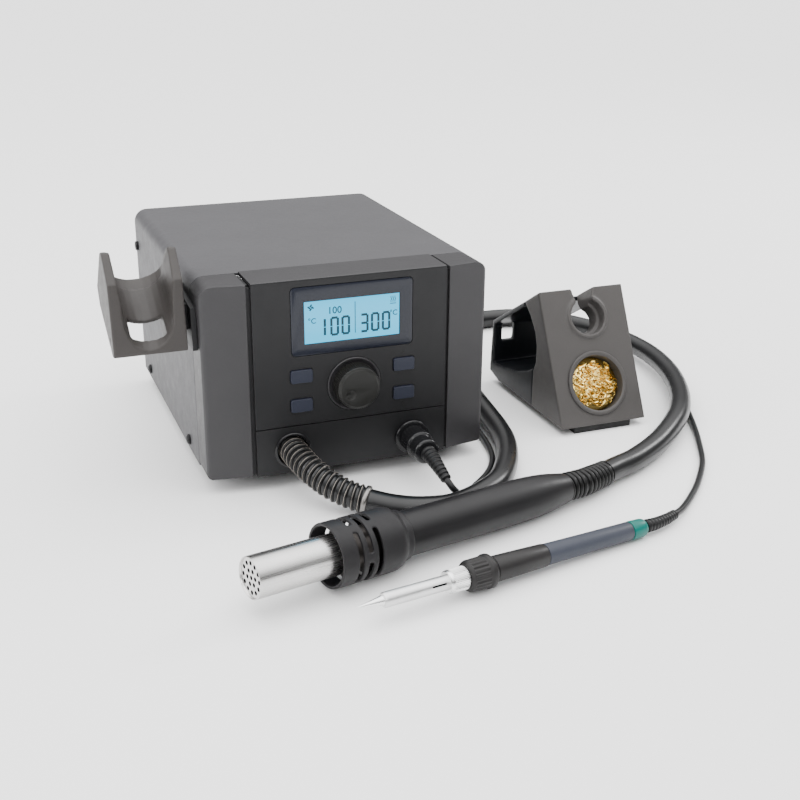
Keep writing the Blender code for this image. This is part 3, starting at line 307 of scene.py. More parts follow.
def only(piece=None):
    """Leaves object mode with that one piece selected and active."""
    if bpy.context.object and bpy.context.object.mode != "OBJECT":
        bpy.ops.object.mode_set(mode="OBJECT")
    bpy.ops.object.select_all(action="DESELECT")
    if piece:
        bpy.context.view_layer.objects.active = piece
        piece.select_set(True)
    return piece


def station(x, y, z):
    """A point given in millimetres from the station's own middle, as a place in the frame."""
    return STATION_AT + Vector((x, y, z)) * MM


def apply_modifier(piece, name, kind, **values):
    only(piece)
    modifier = piece.modifiers.new(name, kind)
    for label, value in values.items():
        setattr(modifier, label, value)
    bpy.ops.object.modifier_apply(modifier=modifier.name)
    return piece


def round_edges(piece, width, segments=3, angle=30.0):
    return apply_modifier(piece, "rounded_edges", "BEVEL", width=width, segments=segments,
                          limit_method="ANGLE", angle_limit=math.radians(angle))


def cut(piece, cutter, operation="DIFFERENCE"):
    """Cuts or joins another shape, which is then removed."""
    apply_modifier(piece, operation.lower(), "BOOLEAN", object=cutter, operation=operation)
    bpy.data.objects.remove(cutter, do_unlink=True)
    return piece


def clean(piece, merge=0.000002):
    """Merges doubled points and turns all faces outwards."""
    only(piece)
    bpy.ops.object.mode_set(mode="EDIT")
    bpy.ops.mesh.select_all(action="SELECT")
    bpy.ops.mesh.remove_doubles(threshold=merge)
    bpy.ops.mesh.normals_make_consistent(inside=False)
    bpy.ops.object.mode_set(mode="OBJECT")
    return piece


def placed(piece, place):
    """Moves a shape built round its own axis to its place, in its mesh."""
    only(piece)
    piece.matrix_world = place @ piece.matrix_world
    bpy.ops.object.transform_apply(location=True, rotation=True, scale=True)
    return piece


def joined(pieces, name):
    only(pieces[0])
    for piece in pieces:
        piece.select_set(True)
    bpy.ops.object.join()
    pieces[0].name = name
    pieces[0].data.name = name
    return pieces[0]


def done(piece, body, material, stands_for=(), angle=30.0, flat_faces=False):
    """Finishes a piece: shading, material, and the part that it rides on and stands for.

    With flat_faces, the large faces keep their own direction in the shading of their rounded edges.
    """
    only(piece)
    bpy.ops.object.transform_apply(location=True, rotation=True, scale=True)
    bpy.ops.object.shade_smooth_by_angle(angle=math.radians(angle))
    if flat_faces:
        apply_modifier(piece, "face_shading", "WEIGHTED_NORMAL", mode="FACE_AREA", weight=90, keep_sharp=True)
    if not piece.data.materials:
        piece.data.materials.append(bpy.data.materials[material])
    if body:
        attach(piece, body)
    if stands_for:
        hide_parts(*stands_for)
    return piece


def named(piece, name):
    piece.name = name
    piece.data.name = name
    return piece


def turned(name, stations, sides=64):
    """A turned solid: a disc drawn out along Z and resized, station by station, as (height, radius)."""
    only()
    height, radius = stations[0]
    bpy.ops.mesh.primitive_circle_add(vertices=sides, radius=radius * MM, fill_type="NGON",
                                      location=(0, 0, height * MM))
    piece = named(bpy.context.object, name)
    bpy.ops.object.mode_set(mode="EDIT")
    bpy.ops.mesh.select_all(action="SELECT")
    for next_height, next_radius in stations[1:]:
        bpy.ops.mesh.extrude_region_move(
            TRANSFORM_OT_translate={"value": (0, 0, (next_height - height) * MM)})
        share = next_radius / radius
        bpy.ops.transform.resize(value=(share, share, 1), center_override=(0, 0, 0))
        height, radius = next_height, next_radius
    bpy.ops.object.mode_set(mode="OBJECT")
    bpy.ops.object.transform_apply(location=True)
    return clean(piece)


def ribbed(piece, low, high, ribs, depth, least=0.0):
    """Presses grooves between the ribs of a turned piece that has 4 sides to a rib."""
    middle = [v for v in piece.data.vertices if low * MM <= v.co.z <= high * MM
              and v.co.xy.length > least * MM]
    for v in middle:
        turn = math.atan2(v.co.y, v.co.x) / (2 * math.pi) * ribs * 4
        if round(turn) % 4 in (0, 1):
            v.co.xy *= 1 - depth * MM / v.co.xy.length
    piece.data.update()
    return piece


def block(name, low, high):
    """A cube resized to two corners, in millimetres of its own frame."""
    only()
    low, high = Vector(low) * MM, Vector(high) * MM
    bpy.ops.mesh.primitive_cube_add(size=1, location=(low + high) / 2, scale=high - low)
    piece = named(bpy.context.object, name)
    bpy.ops.object.transform_apply(location=True, rotation=True, scale=True)
    return piece


def rod(radius, start, end, sides=24, at=(0, 0)):
    """A plain cylinder along Z, used as a cutter."""
    only()
    bpy.ops.mesh.primitive_cylinder_add(vertices=sides, radius=radius * MM, depth=(end - start) * MM,
                                        location=(at[0] * MM, at[1] * MM, (start + end) / 2 * MM))
    bpy.ops.object.transform_apply(location=True)
    return bpy.context.object


def merged_copy(part, name):
    """A copy of a plain part, with its loose triangles merged back into flat faces."""
    only()
    piece = bpy.data.objects.new(name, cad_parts[part].data.copy())
    piece.data.name = name
    piece.data.materials.clear()
    bpy.context.scene.collection.objects.link(piece)
    only(piece)
    if piece.data.has_custom_normals:
        bpy.ops.mesh.customdata_custom_splitnormals_clear()
    bpy.ops.object.mode_set(mode="EDIT")
    bpy.ops.mesh.select_all(action="SELECT")
    bpy.ops.mesh.remove_doubles(threshold=0.000002)
    bpy.ops.mesh.dissolve_limited(angle_limit=math.radians(0.5))
    bpy.ops.object.mode_set(mode="OBJECT")
    return piece


def softened(part, body, material, width, segments=3, angle=30.0):
    """A plain part copied, with its edges rounded, standing for that part."""
    piece = merged_copy(part, part + "_moulding")
    round_edges(piece, width, segments, angle)
    return done(piece, body, material, [part], 40, True)


def smoothed(piece):
    """Rounds a moulding all over: a fine even skin, which is then relaxed."""
    apply_modifier(piece, "skin", "REMESH", mode="VOXEL", voxel_size=SKIN_CELL)
    return apply_modifier(piece, "softening", "SMOOTH", factor=0.5, iterations=SKIN_PASSES)


def smooth_route(points, count):
    """Evenly spaced points on the smooth curve through a listed route."""
    points = [Vector(point) for point in points]
    ends = [points[0] * 2 - points[1]] + points + [points[-1] * 2 - points[-2]]
    fine = []
    for a, b, c, d in zip(ends, ends[1:], ends[2:], ends[3:]):
        for step in range(24):
            t = step / 24
            fine.append(0.5 * (2 * b + (c - a) * t + (2 * a - 5 * b + 4 * c - d) * t ** 2
                               + (3 * b - a - 3 * c + d) * t ** 3))
    fine.append(points[-1])
    lengths = [0.0]
    for a, b in zip(fine, fine[1:]):
        lengths.append(lengths[-1] + (b - a).length)
    spaced, index = [], 0
    for number in range(count):
        wanted = lengths[-1] * number / (count - 1)
        while index < len(fine) - 2 and lengths[index + 1] < wanted:
            index += 1
        share = (wanted - lengths[index]) / (lengths[index + 1] - lengths[index])
        spaced.append(fine[index].lerp(fine[index + 1], share))
    return spaced


def route_length(points):
    return sum((b - a).length for a, b in zip(points, points[1:]))


def tube(name, points, radius, sides=16, radii=None):
    """A round tube through the points, made a mesh. Radii, if given, replace the one radius."""
    only()
    curve = bpy.data.curves.new(name, "CURVE")
    curve.dimensions = "3D"
    curve.bevel_depth = radius
    curve.bevel_resolution = sides // 2 - 2
    curve.use_fill_caps = True
    spline = curve.splines.new("POLY")
    spline.points.add(len(points) - 1)
    for index, (point, co) in enumerate(zip(spline.points, points)):
        point.co = (*co, 1.0)
        point.radius = radii[index] / radius if radii else 1.0
    piece = bpy.data.objects.new(name, curve)
    bpy.context.scene.collection.objects.link(piece)
    only(piece)
    bpy.ops.object.convert(target="MESH")
    return clean(bpy.context.object)


def winding(points, turns, radius, end_radius=None, steps=22, start_turn=0.0):
    """Points of a helix wound round a route, from one radius to another."""
    end_radius = end_radius or radius
    count = turns * steps + 1
    line = smooth_route(points, count)
    across = Vector((0, 0, 1))
    found = []
    for index, point in enumerate(line):
        before, after = line[max(index - 1, 0)], line[min(index + 1, count - 1)]
        along = (after - before).normalized()
        across = (across - along * across.dot(along)).normalized()
        turn = 2 * math.pi * (index / steps + start_turn)
        out = across * math.cos(turn) + along.cross(across) * math.sin(turn)
        found.append(point + out * (radius + (end_radius - radius) * index / (count - 1)))
    return found


def tool_frame(first, front, back):
    """A tool's own frame: at the front of its first piece, with Z running forward along its axis."""
    def middle(part):
        spots = {tuple(round(c, 6) for c in v.co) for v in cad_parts[part].data.vertices}
        return sum((Vector(spot) for spot in spots), Vector()) / len(spots)

    start = middle(front)
    forward = (start - middle(back)).normalized()
    reach = max((v.co - start).dot(forward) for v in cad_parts[first].data.vertices)
    turn = forward.to_track_quat("Z", "Y").to_matrix().to_4x4()
    return Matrix.Translation(start + forward * reach) @ turn


def behind(stations):
    """Stations given as (distance behind the tool's front end, radius), as heights on its axis."""
    return [(-distance, radius) for distance, radius in stations]


HANDPIECE = tool_frame("nozzle_tube", "nozzle_tube", "handle_shell")
IRON = tool_frame("iron_tip", "front_grip", "rear_grip")
TO_PANEL = Matrix.Translation((0, PANEL_FRONT, 0)) @ Matrix.Rotation(math.radians(90), 4, "X")


def on_panel(x, z):
    """Place on the front panel, with Z pointing out of it and Y up."""
    spot = station(x, 0, z)
    return Matrix.Translation((spot.x, 0, spot.z)) @ TO_PANEL


# ---------------------------------------------------------------- routes of the hose and the cord

SPRING_ROUTE = [
    (-0.0400, 0.0003, 0.0254), (-0.0400, -0.0080, 0.0254), (-0.0388, -0.0190, 0.0242),
    (-0.0350, -0.0310, 0.0208), (-0.0280, -0.0430, 0.0162), (-0.0190, -0.0520, 0.0122),
    (-0.0132, -0.0564, 0.0104), (-0.0100, -0.0586, 0.0096),
]
HOSE_ROUTE = [
    (-0.0062, -0.0612, 0.0088), (0.0040, -0.0690, 0.0078), (0.0166, -0.0764, 0.0077),
    (0.0316, -0.0800, 0.0077), (0.0445, -0.0782, 0.0077), (0.0617, -0.0704, 0.0077),
    (0.0790, -0.0580, 0.0077), (0.0934, -0.0386, 0.0077), (0.1036, -0.0193, 0.0077),
    (0.1100, -0.0026, 0.0077), (0.1142, 0.0140, 0.0077), (0.1176, 0.0340, 0.0077),
    (0.1240, 0.0780, 0.0077), (0.1300, 0.1120, 0.0077), (0.1370, 0.1500, 0.0077),
    (0.1470, 0.1900, 0.0077), (0.1670, 0.2260, 0.0077), (0.1980, 0.2460, 0.0077),
    (0.2340, 0.2460, 0.0077), (0.2640, 0.2270, 0.0082), (0.2830, 0.1940, 0.0092),
    (0.2925, 0.1560, 0.0106), (0.2945, 0.1190, 0.0116), (0.2896, 0.0850, 0.0122),
    (0.2800, 0.0530, 0.0122), (0.2642, 0.0198, 0.0122), (0.2460, -0.0068, 0.0120),
    (0.2265, -0.0265, 0.0108), (0.2025, -0.0454, 0.0090), (0.1760, -0.0612, 0.0084),
    (0.1580, -0.0690, 0.0088), (0.1500, -0.07273, 0.0091), (0.1463, -0.07443, 0.00918),
]
PLUG_BOOT_ROUTE = [
    (0.0400, -0.0346, 0.0232), (0.0400, -0.0400, 0.0229), (0.0402, -0.0510, 0.0205),
    (0.0410, -0.0600, 0.0172), (0.0413, -0.0624, 0.0162),
]
CORD_ROUTE = [
    (0.0417, -0.0643, 0.0154), (0.0428, -0.0663, 0.0133), (0.0454, -0.0672, 0.0100),
    (0.0500, -0.0654, 0.0058), (0.0560, -0.0604, 0.0030), (0.0615, -0.0546, 0.0023),
    (0.0665, -0.0496, 0.0023), (0.0735, -0.0436, 0.0023), (0.0815, -0.0358, 0.0023),
    (0.0888, -0.0262, 0.0023), (0.0948, -0.0154, 0.0023), (0.0992, -0.0034, 0.0023),
    (0.1026, 0.0110, 0.0023), (0.1054, 0.0280, 0.0023), (0.1105, 0.0660, 0.0023),
    (0.1170, 0.1100, 0.0023), (0.1240, 0.1520, 0.0023), (0.1340, 0.1940, 0.0023),
    (0.1560, 0.2350, 0.0023), (0.1940, 0.2595, 0.0023), (0.2380, 0.2590, 0.0023),
    (0.2750, 0.2380, 0.0023), (0.2980, 0.2040, 0.0023), (0.3075, 0.1660, 0.0023),
    (0.3100, 0.1340, 0.0023), (0.3055, 0.1010, 0.0023), (0.2955, 0.0720, 0.0023),
    (0.2815, 0.0430, 0.0023), (0.2703, 0.0195, 0.0023), (0.2608, -0.0010, 0.0023),
    (0.2509, -0.0215, 0.0023), (0.2393, -0.0431, 0.0023), (0.2260, -0.0660, 0.0023),
    (0.2130, -0.0830, 0.0023), (0.1980, -0.0998, 0.0023), (0.1825, -0.1146, 0.0025),
    (0.1710, -0.1246, 0.0033), (0.1640, -0.1296, 0.0042), (0.1617, -0.13107, 0.00445),
]
RELIEF_ROUTE = [(0.1079, -0.0892, 0.0119), (0.1156, -0.0871, 0.0115), (0.1253, -0.0845, 0.0110),
                (0.1457, -0.0747, 0.0092)]
IRON_BOOT_ROUTE = [(0.1349, -0.1406, 0.0057), (0.1428, -0.1391, 0.0054), (0.1521, -0.1358, 0.0050),
                   (0.1611, -0.1314, 0.0045)]


def in_frame(route):
    return [STATION_AT + Vector(point) for point in route]


# ---------------------------------------------------------------- operators

class STATION_OT_stage(bpy.types.Operator):
    """Pale floor, soft studio light and the camera"""
    bl_idname = "station.stage"
    bl_label = "Stage"

    # name, place, side in metres, power in watts
    SOFT_LIGHTS = (("left_softbox", (-1.7, 0.1, 0.75), 0.9, 15.0),
                   ("front_softbox", (-0.9, -1.7, 0.9), 0.5, 7.0),
                   ("right_softbox", (1.6, 0.3, 0.9), 0.35, 9.0))

    def execute(self, context):
        only()
        bpy.ops.mesh.primitive_plane_add(size=1, location=(0, 0, -0.0004))
        floor = named(context.object, "studio_floor")
        floor.scale = (14.0, 14.0, 1.0)
        bpy.ops.object.transform_apply(location=True, rotation=True, scale=True)
        white, _, shader = new_material("studio_white")
        shader.inputs["Base Color"].default_value = (0.93, 0.93, 0.93, 1.0)
        shader.inputs["Roughness"].default_value = 0.9
        shader.inputs["Specular IOR Level"].default_value = 0.1
        floor.data.materials.append(white)

        world = bpy.data.worlds.new("studio_world")
        context.scene.world = world
        world.use_nodes = True
        sky = world.node_tree
        background = sky.nodes["Background"]
        background.inputs["Color"].default_value = (1.0, 1.0, 1.0, 1.0)
        direction = node(sky, "ShaderNodeTexCoord").outputs["Generated"]
        height = node(sky, "ShaderNodeSeparateXYZ", [(direction, "Vector")]).outputs["Z"]
        sky.links.new(ranged(sky, height, 0.22, 4.6, 0.35, 0.95), background.inputs["Strength"])

        for name, spot, size, power in self.SOFT_LIGHTS:
            light = bpy.data.lights.new(name, "AREA")
            light.shape = "SQUARE"
            light.size = size
            light.energy = power
            lamp = bpy.data.objects.new(name, light)
            context.scene.collection.objects.link(lamp)
            aim = Vector((0, 0, 0.05)) - Vector(spot)
            lamp.matrix_world = Matrix.Translation(spot) @ aim.to_track_quat("-Z", "Y").to_matrix().to_4x4()

        data = bpy.data.cameras.new("product_camera")
        data.sensor_width = 36.0
        data.lens = 53.22
        data.clip_start = 0.01
        camera = bpy.data.objects.new("product_camera", data)
        context.scene.collection.objects.link(camera)
        turn, tilt, roll = (math.radians(angle) for angle in (-21.37, 21.65, 0.45))
        back = Vector((math.sin(turn) * math.cos(tilt), -math.cos(turn) * math.cos(tilt), math.sin(tilt)))
        level = Vector((0, 0, 1)).cross(back).normalized()
        upright = back.cross(level)
        right = level * math.cos(roll) + upright * math.sin(roll)
        up = upright * math.cos(roll) - level * math.sin(roll)
        view = Matrix((right, up, back)).transposed().to_4x4()
        camera.matrix_world = Matrix.Translation((-0.26657, -0.68679, 0.32971)) @ view
        context.scene.camera = camera
        return {"FINISHED"}


class STATION_OT_hose(bpy.types.Operator):
    """Air hose from its gland to the handpiece, with the wound spring round its first stretch"""
    bl_idname = "station.hose"
    bl_label = "Air hose"

    def execute(self, context):
        sizes = context.scene.station_sizes
        line = smooth_route(in_frame(SPRING_ROUTE + HOSE_ROUTE), 340)
        hose = tube("air_hose_line", line, sizes.hose_radius, 20)
        hose.data.materials.append(bpy.data.materials["hose_satin"])
        bpy.ops.object.shade_smooth_by_angle(angle=math.radians(40))
        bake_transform(hose)
        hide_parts("air_hose")

        sleeve = smooth_route(in_frame(SPRING_ROUTE), 60)
        turns = round(route_length(sleeve) / sizes.coil_pitch)
        wire_run = sizes.hose_radius - 0.0001
        coil = tube("outlet_spring_coil", winding(sleeve, turns, wire_run), sizes.coil_wire, 10)
        done(coil, "station", "coil_black", ["outlet_spring"], 50)
        # A fine lighter strand wound on the coil's outer crest: a painted highlight.
        edge_run = wire_run + sizes.coil_wire
        edge = tube("outlet_spring_crest_highlight", winding(sleeve, turns, edge_run), 0.00017, 6)
        done(edge, "station", "spring_crest_highlight", (), 50)

        end, before = sleeve[-1], sleeve[-3]
        only()
        bpy.ops.mesh.primitive_torus_add(major_radius=0.0079, minor_radius=0.0013, major_segments=64,
                                         minor_segments=14)
        ring = named(context.object, "outlet_spring_end_ring")
        ring.scale = (1, 1, 1.35)
        bpy.ops.object.transform_apply(scale=True)
        placed(ring, Matrix.Translation(end) @ (end - before).to_track_quat("Z", "Y").to_matrix().to_4x4())
        done(ring, "station", "spring_ring", (), 50)

        return {"FINISHED"}


def ribbed_boot(name, points, start_r, end_r, ribs, depth, sides=24):
    """A tapering strain relief, with grooves between its ribs."""
    line = smooth_route(points, ribs * 10 + 1)
    radii = []
    for index in range(len(line)):
        share = index / (len(line) - 1)
        wave = 0.5 + 0.5 * math.cos(2 * math.pi * index / 10)
        groove = depth * max(0.0, wave * 1.6 - 0.6)
        radii.append(start_r + (end_r - start_r) * share - groove)
    return tube(name, line, start_r, sides, radii)


class STATION_OT_cord(bpy.types.Operator):
    """Iron's cord from its plug to the iron, with the ribbed boots at both ends"""
    bl_idname = "station.cord"
    bl_label = "Iron cord"

    def execute(self, context):
        sizes = context.scene.station_sizes
        line = smooth_route(in_frame(PLUG_BOOT_ROUTE + CORD_ROUTE), 420)
        cord = tube("iron_cord_line", line, sizes.cord_radius, 12)
        cord.data.materials.append(bpy.data.materials["cord_rubber"])
        bpy.ops.object.shade_smooth_by_angle(angle=math.radians(50))
        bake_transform(cord)
        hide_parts("iron_cord")

        boot = ribbed_boot("plug_boot_ribs", in_frame(PLUG_BOOT_ROUTE), 0.0053, 0.0033, 9, 0.0009)
        done(boot, "station", "cord_rubber", ["plug_boot"], 60)
        tail = ribbed_boot("iron_boot_ribs", in_frame(IRON_BOOT_ROUTE), 0.0041, 0.0030, 11, 0.0008)
        done(tail, "iron", "cord_rubber", ["iron_boot"], 60)
        return {"FINISHED"}


class STATION_OT_casing(bpy.types.Operator):
    """Cover, pillars and front panels, with the rounded edges of folded and moulded parts"""
    bl_idname = "station.casing"
    bl_label = "Casing"

    def execute(self, context):
        edge = context.scene.station_sizes.edge_round
        softened("top_cover", "station", "casing_paint", edge * 0.6)
        softened("left_pillar", "station", "pillar_moulding", edge)
        softened("right_pillar", "station", "pillar_moulding", edge)
        panel = softened("front_panel", "station", "panel_moulding", edge * 0.6)
        # The panel's upward faces along its top take the lighter pillar grey: a painted highlight where the
        # top faces the light.
        panel.data.materials.append(bpy.data.materials["pillar_moulding"])
        for face in panel.data.polygons:
            if face.normal.z > 0.9 and face.center.z > 0.13:
                face.material_index = 1
        softened("lower_front_panel", "station", "panel_moulding", edge * 0.6)
        plain = {"base_chassis": "casing_paint", "rear_panel": "casing_paint",
                 "front_subframe": "dark_frame",
                 "power_inlet": "glossy_black", "switch_frame": "glossy_black",
                 "power_rocker": "glossy_black",
                 "control_board": "board_mask", "transformer": "core_steel", "air_pump": "dark_frame",
                 "pump_arm": "core_steel", "encoder_shaft": "core_steel", "heater_core": "heater_ceramic",
                 "holder_plate": "dark_frame", "stand_pad": "soft_rubber",
                 "nozzle_diffuser": "nozzle_brushed"}
        for number in range(4):
            plain[f"foot_{number + 1}"] = "soft_rubber"
        for part in ("side_screw_back", "side_screw_front", "holder_screw_front", "holder_screw_back"):
            plain[part] = "screw_dark"
        for part, material in plain.items():
            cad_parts[part].data.materials.clear()
            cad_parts[part].data.materials.append(bpy.data.materials[material])

        inner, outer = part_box("front_panel")[1].x / MM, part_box("right_pillar")[0].x / MM
        middle = (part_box("front_panel")[0].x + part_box("front_panel")[1].x) / 2 / MM
        subframe_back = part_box("front_subframe")[1].y / MM
        # Dark blocks that fill the seams between the pillars and the front panel: painted shade in the gaps.
        seam_shade_blocks = []
        for way in (-1, 1):
            across = sorted((middle + way * (inner - middle + 0.3), middle + way * (outer - middle - 0.3)))
            seam_shade_blocks.append(block("seam_shade_block", (across[0], subframe_back + 0.3, 13.0),
                                (across[1], subframe_back + 22.0, 133.6)))
        seam_shade_block = round_edges(joined(seam_shade_blocks, "panel_seam_shade_blocks"), 0.0003, 2)
        done(seam_shade_block, "station", "dark_frame")

        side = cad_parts["top_cover"]
        left = min(v.co.x for v in side.data.vertices)
        screw = turned("side_screw_top", [(0, 3.4), (1.6, 3.4), (2.1, 3.0), (2.2, 1.9), (1.2, 1.7)], 32)
        turn = Matrix.Rotation(math.radians(-90), 4, "Y")
        spot = station(0, 214, 109)
        placed(screw, Matrix.Translation((left, spot.y, spot.z)) @ turn)
        done(screw, "station", "screw_dark")
        return {"FINISHED"}


# Segments of a seven-segment digit: (start, end) in widths and half heights, up from the digit's foot
SEGMENTS = {"top": ((0, 2), (1, 2)), "upper_left": ((0, 1), (0, 2)), "upper_right": ((1, 1), (1, 2)),
            "middle": ((0, 1), (1, 1)), "lower_left": ((0, 0), (0, 1)), "lower_right": ((1, 0), (1, 1)),
            "bottom": ((0, 0), (1, 0))}
LIT = {"0": ("top", "upper_left", "upper_right", "lower_left", "lower_right", "bottom"),
       "1": ("upper_right", "lower_right"),
       "3": ("top", "upper_right", "middle", "lower_right", "bottom")}


class STATION_OT_display(bpy.types.Operator):
    """Tinted window, the lit display behind it, and the dark segments on the display"""
    bl_idname = "station.display"
    bl_label = "Display"

    LIT_AREA = ((-30.5, 94.0), (31.5, 121.0))
    SUNK = 0.5                # the display's depth behind the window's front
    INK = 0.06                # how far the segments stand off the display

    def bar(self, x0, z0, x1, z1, name="bar"):
        """A flat dark mark on the display, between two corners in millimetres."""
        front = (PANEL_FRONT - STATION_AT.y) / MM + self.SUNK
        low, high = station(x0, front - self.INK, z0) / MM, station(x1, front + self.INK, z1) / MM
        mark = block(name, low, high)
        return round_edges(mark, min(x1 - x0, z1 - z0) * 0.12 * MM, 1)

    def digit(self, value, x, z, width, height, thick):
        bars = []
        for segment in LIT[value]:
            (u0, v0), (u1, v1) = SEGMENTS[segment]
            gap = thick * 0.12
            upright = u0 == u1
            x0, x1 = x + u0 * width, x + u1 * width
            z0, z1 = z + v0 * height / 2, z + v1 * height / 2
            if upright:
                bars.append(self.bar(x0 - thick / 2, z0 + gap, x1 + thick / 2, z1 - gap))
            else:
                bars.append(self.bar(x0 + gap, z0 - thick / 2, x1 - gap, z1 + thick / 2))
        return bars

    def lettering(self, words, x, z, size):
        """Thin figures, such as a small number or a unit."""
        only()
        front = (PANEL_FRONT - STATION_AT.y) / MM + self.SUNK
        bpy.ops.object.text_add(location=station(x, front, z), rotation=(math.radians(90), 0, 0))
        written = bpy.context.object
        written.data.body = words
        written.data.size = size * MM
        written.data.extrude = self.INK * MM
        written.data.offset = 0.012 * size * MM
        written.data.resolution_u = 4
        bpy.ops.object.convert(target="MESH")
        bpy.ops.object.transform_apply(location=True, rotation=True, scale=True)
        return bpy.context.object

    def execute(self, context):
        (low_x, low_z), (high_x, high_z) = self.LIT_AREA
        window = merged_copy("display_window", "display_window_lens")
        opening = block("opening", station(low_x, -20, low_z) / MM, station(high_x, 20, high_z) / MM)
        cut(window, opening)
        round_edges(window, 0.00022, 2)
        done(window, "station", "window_tint", ["display_window"])

        front = (PANEL_FRONT - STATION_AT.y) / MM
        low_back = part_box("lcd_module")[0]
        high_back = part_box("lcd_module")[1]
        module = block("lcd_body", low_back / MM, high_back / MM)
        face = block("lcd_face", station(low_x + 0.1, front + self.SUNK, low_z + 0.1) / MM,
                     station(high_x - 0.1, front + 2.4, high_z - 0.1) / MM)
        cut(module, face, "UNION")
        round_edges(module, 0.0001, 2)
        done(module, "station", "display_glow", ["lcd_module"])
        module.data.materials.append(bpy.data.materials["dark_frame"])
        lit_depth = PANEL_FRONT + (self.SUNK + 0.2) * MM
        for face in module.data.polygons:
            if face.center.y > lit_depth:
                face.material_index = 1

        marks = []
        for text, x in (("100", -20.4), ("300", 6.1)):
            for place, value in enumerate(text):
                left = x + place * 7.2 - (1.2 if value == "1" else 0)
                marks += self.digit(value, left, 98.4, 4.2, 10.8, 1.5)
        marks.append(self.bar(2.0, 98.0, 2.5, 118.2))
        for turn in range(4):
            blade = self.bar(-26.2, 117.3, -24.3, 118.3)
            hub = station(-26.2, 0, 117.1)
            swing = Matrix.Rotation(math.radians(90 * turn + 40), 4, "Y")
            spot = Matrix.Translation((hub.x, 0, hub.z))
            marks.append(placed(blade, spot @ swing @ spot.inverted()))
        for wave in range(3):
            for step in range(3):
                x = 25.6 + wave * 1.3 + (0.3 if step % 2 else 0)
                marks.append(self.bar(x, 115.4 + step * 1.25, x + 0.45, 116.8 + step * 1.25))
        marks.append(self.bar(25.2, 114.3, 29.2, 114.75))
        marks += [self.lettering("100", -15.6, 112.0, 6.2), self.lettering("°C", -28.2, 106.9, 4.8),
                  self.lettering("°C", 24.9, 106.9, 4.8)]
        ink = joined(marks, "display_segments")
        done(ink, "station", "display_digits")
        return {"FINISHED"}


class STATION_OT_keys(bpy.types.Operator):
    """Four keys with soft edges, and the raised sign beside each"""
    bl_idname = "station.keys"
    bl_label = "Keys"

    def execute(self, context):
        for part in ("temp_up", "temp_down", "air_up", "air_down"):
            softened(part + "_button", part + "_key", "key_caps", 0.0004)

        front = (PANEL_FRONT - STATION_AT.y) / MM
        signs = []
        for x, z, wide, high in ((-33.4, 82.1, 2.6, 0.5), (-33.4, 82.1, 0.5, 2.6), (-33.8, 47.2, 2.6, 0.5)):
            low = station(x - wide / 2, front - 0.05, z - high / 2)
            signs.append(block("stroke", low / MM, station(x + wide / 2, front + 0.4, z + high / 2) / MM))
        for x, z, turn in ((34.3, 81.8, 0), (34.6, 47.1, 180)):
            only()
            bpy.ops.mesh.primitive_cylinder_add(vertices=3, radius=1.5 * MM, depth=0.45 * MM)
            arrow = context.object
            placed(arrow, on_panel(x, z) @ Matrix.Rotation(math.radians(turn), 4, "Z"))
            signs.append(arrow)
        plate = joined(signs, "key_signs")
        round_edges(plate, 0.00005, 1)
        done(plate, "station", "panel_signs")
        return {"FINISHED"}


class STATION_OT_knob(bpy.types.Operator):
    """Ribbed knob with its finger dimple, in a dished ring"""
    bl_idname = "station.knob"
    bl_label = "Knob"

    def execute(self, context):
        sizes = context.scene.station_sizes
        at = on_panel(1.2, 64.8)
        knob = turned("knob_cap", [(0.2, 13.9), (0.5, 14.4), (9.4, 13.9), (9.9, 13.3), (10.1, 12.6),
                                   (10.7, 11.9)], sizes.knob_ribs * 4)
        ribbed(knob, 0.4, 9.6, sizes.knob_ribs, 0.32)
        only()
        bpy.ops.mesh.primitive_uv_sphere_add(segments=48, ring_count=24, radius=5.0 * MM,
                                             location=(-5.4 * MM, -3.6 * MM, 14.5 * MM))
        cut(knob, context.object)
        placed(round_edges(knob, 0.00015, 2, 25), at)
        done(knob, "selector_knob", "knob_moulding", ["knob"], 25)
        ring = turned("knob_ring_dish", [(-2.0, 17.5), (0.2, 17.5), (0.6, 17.1), (0.6, 16.7), (0.1, 16.0),
                                         (-1.2, 15.2), (-1.6, 14.6), (-1.6, 6.0)], 96)
        placed(ring, at)
        # The dished ring takes the lighter pillar grey: partly its own grey, partly a painted highlight for
        # the light its hollow catches.
        done(ring, "station", "pillar_moulding", ["knob_ring"], 40)
        return {"FINISHED"}


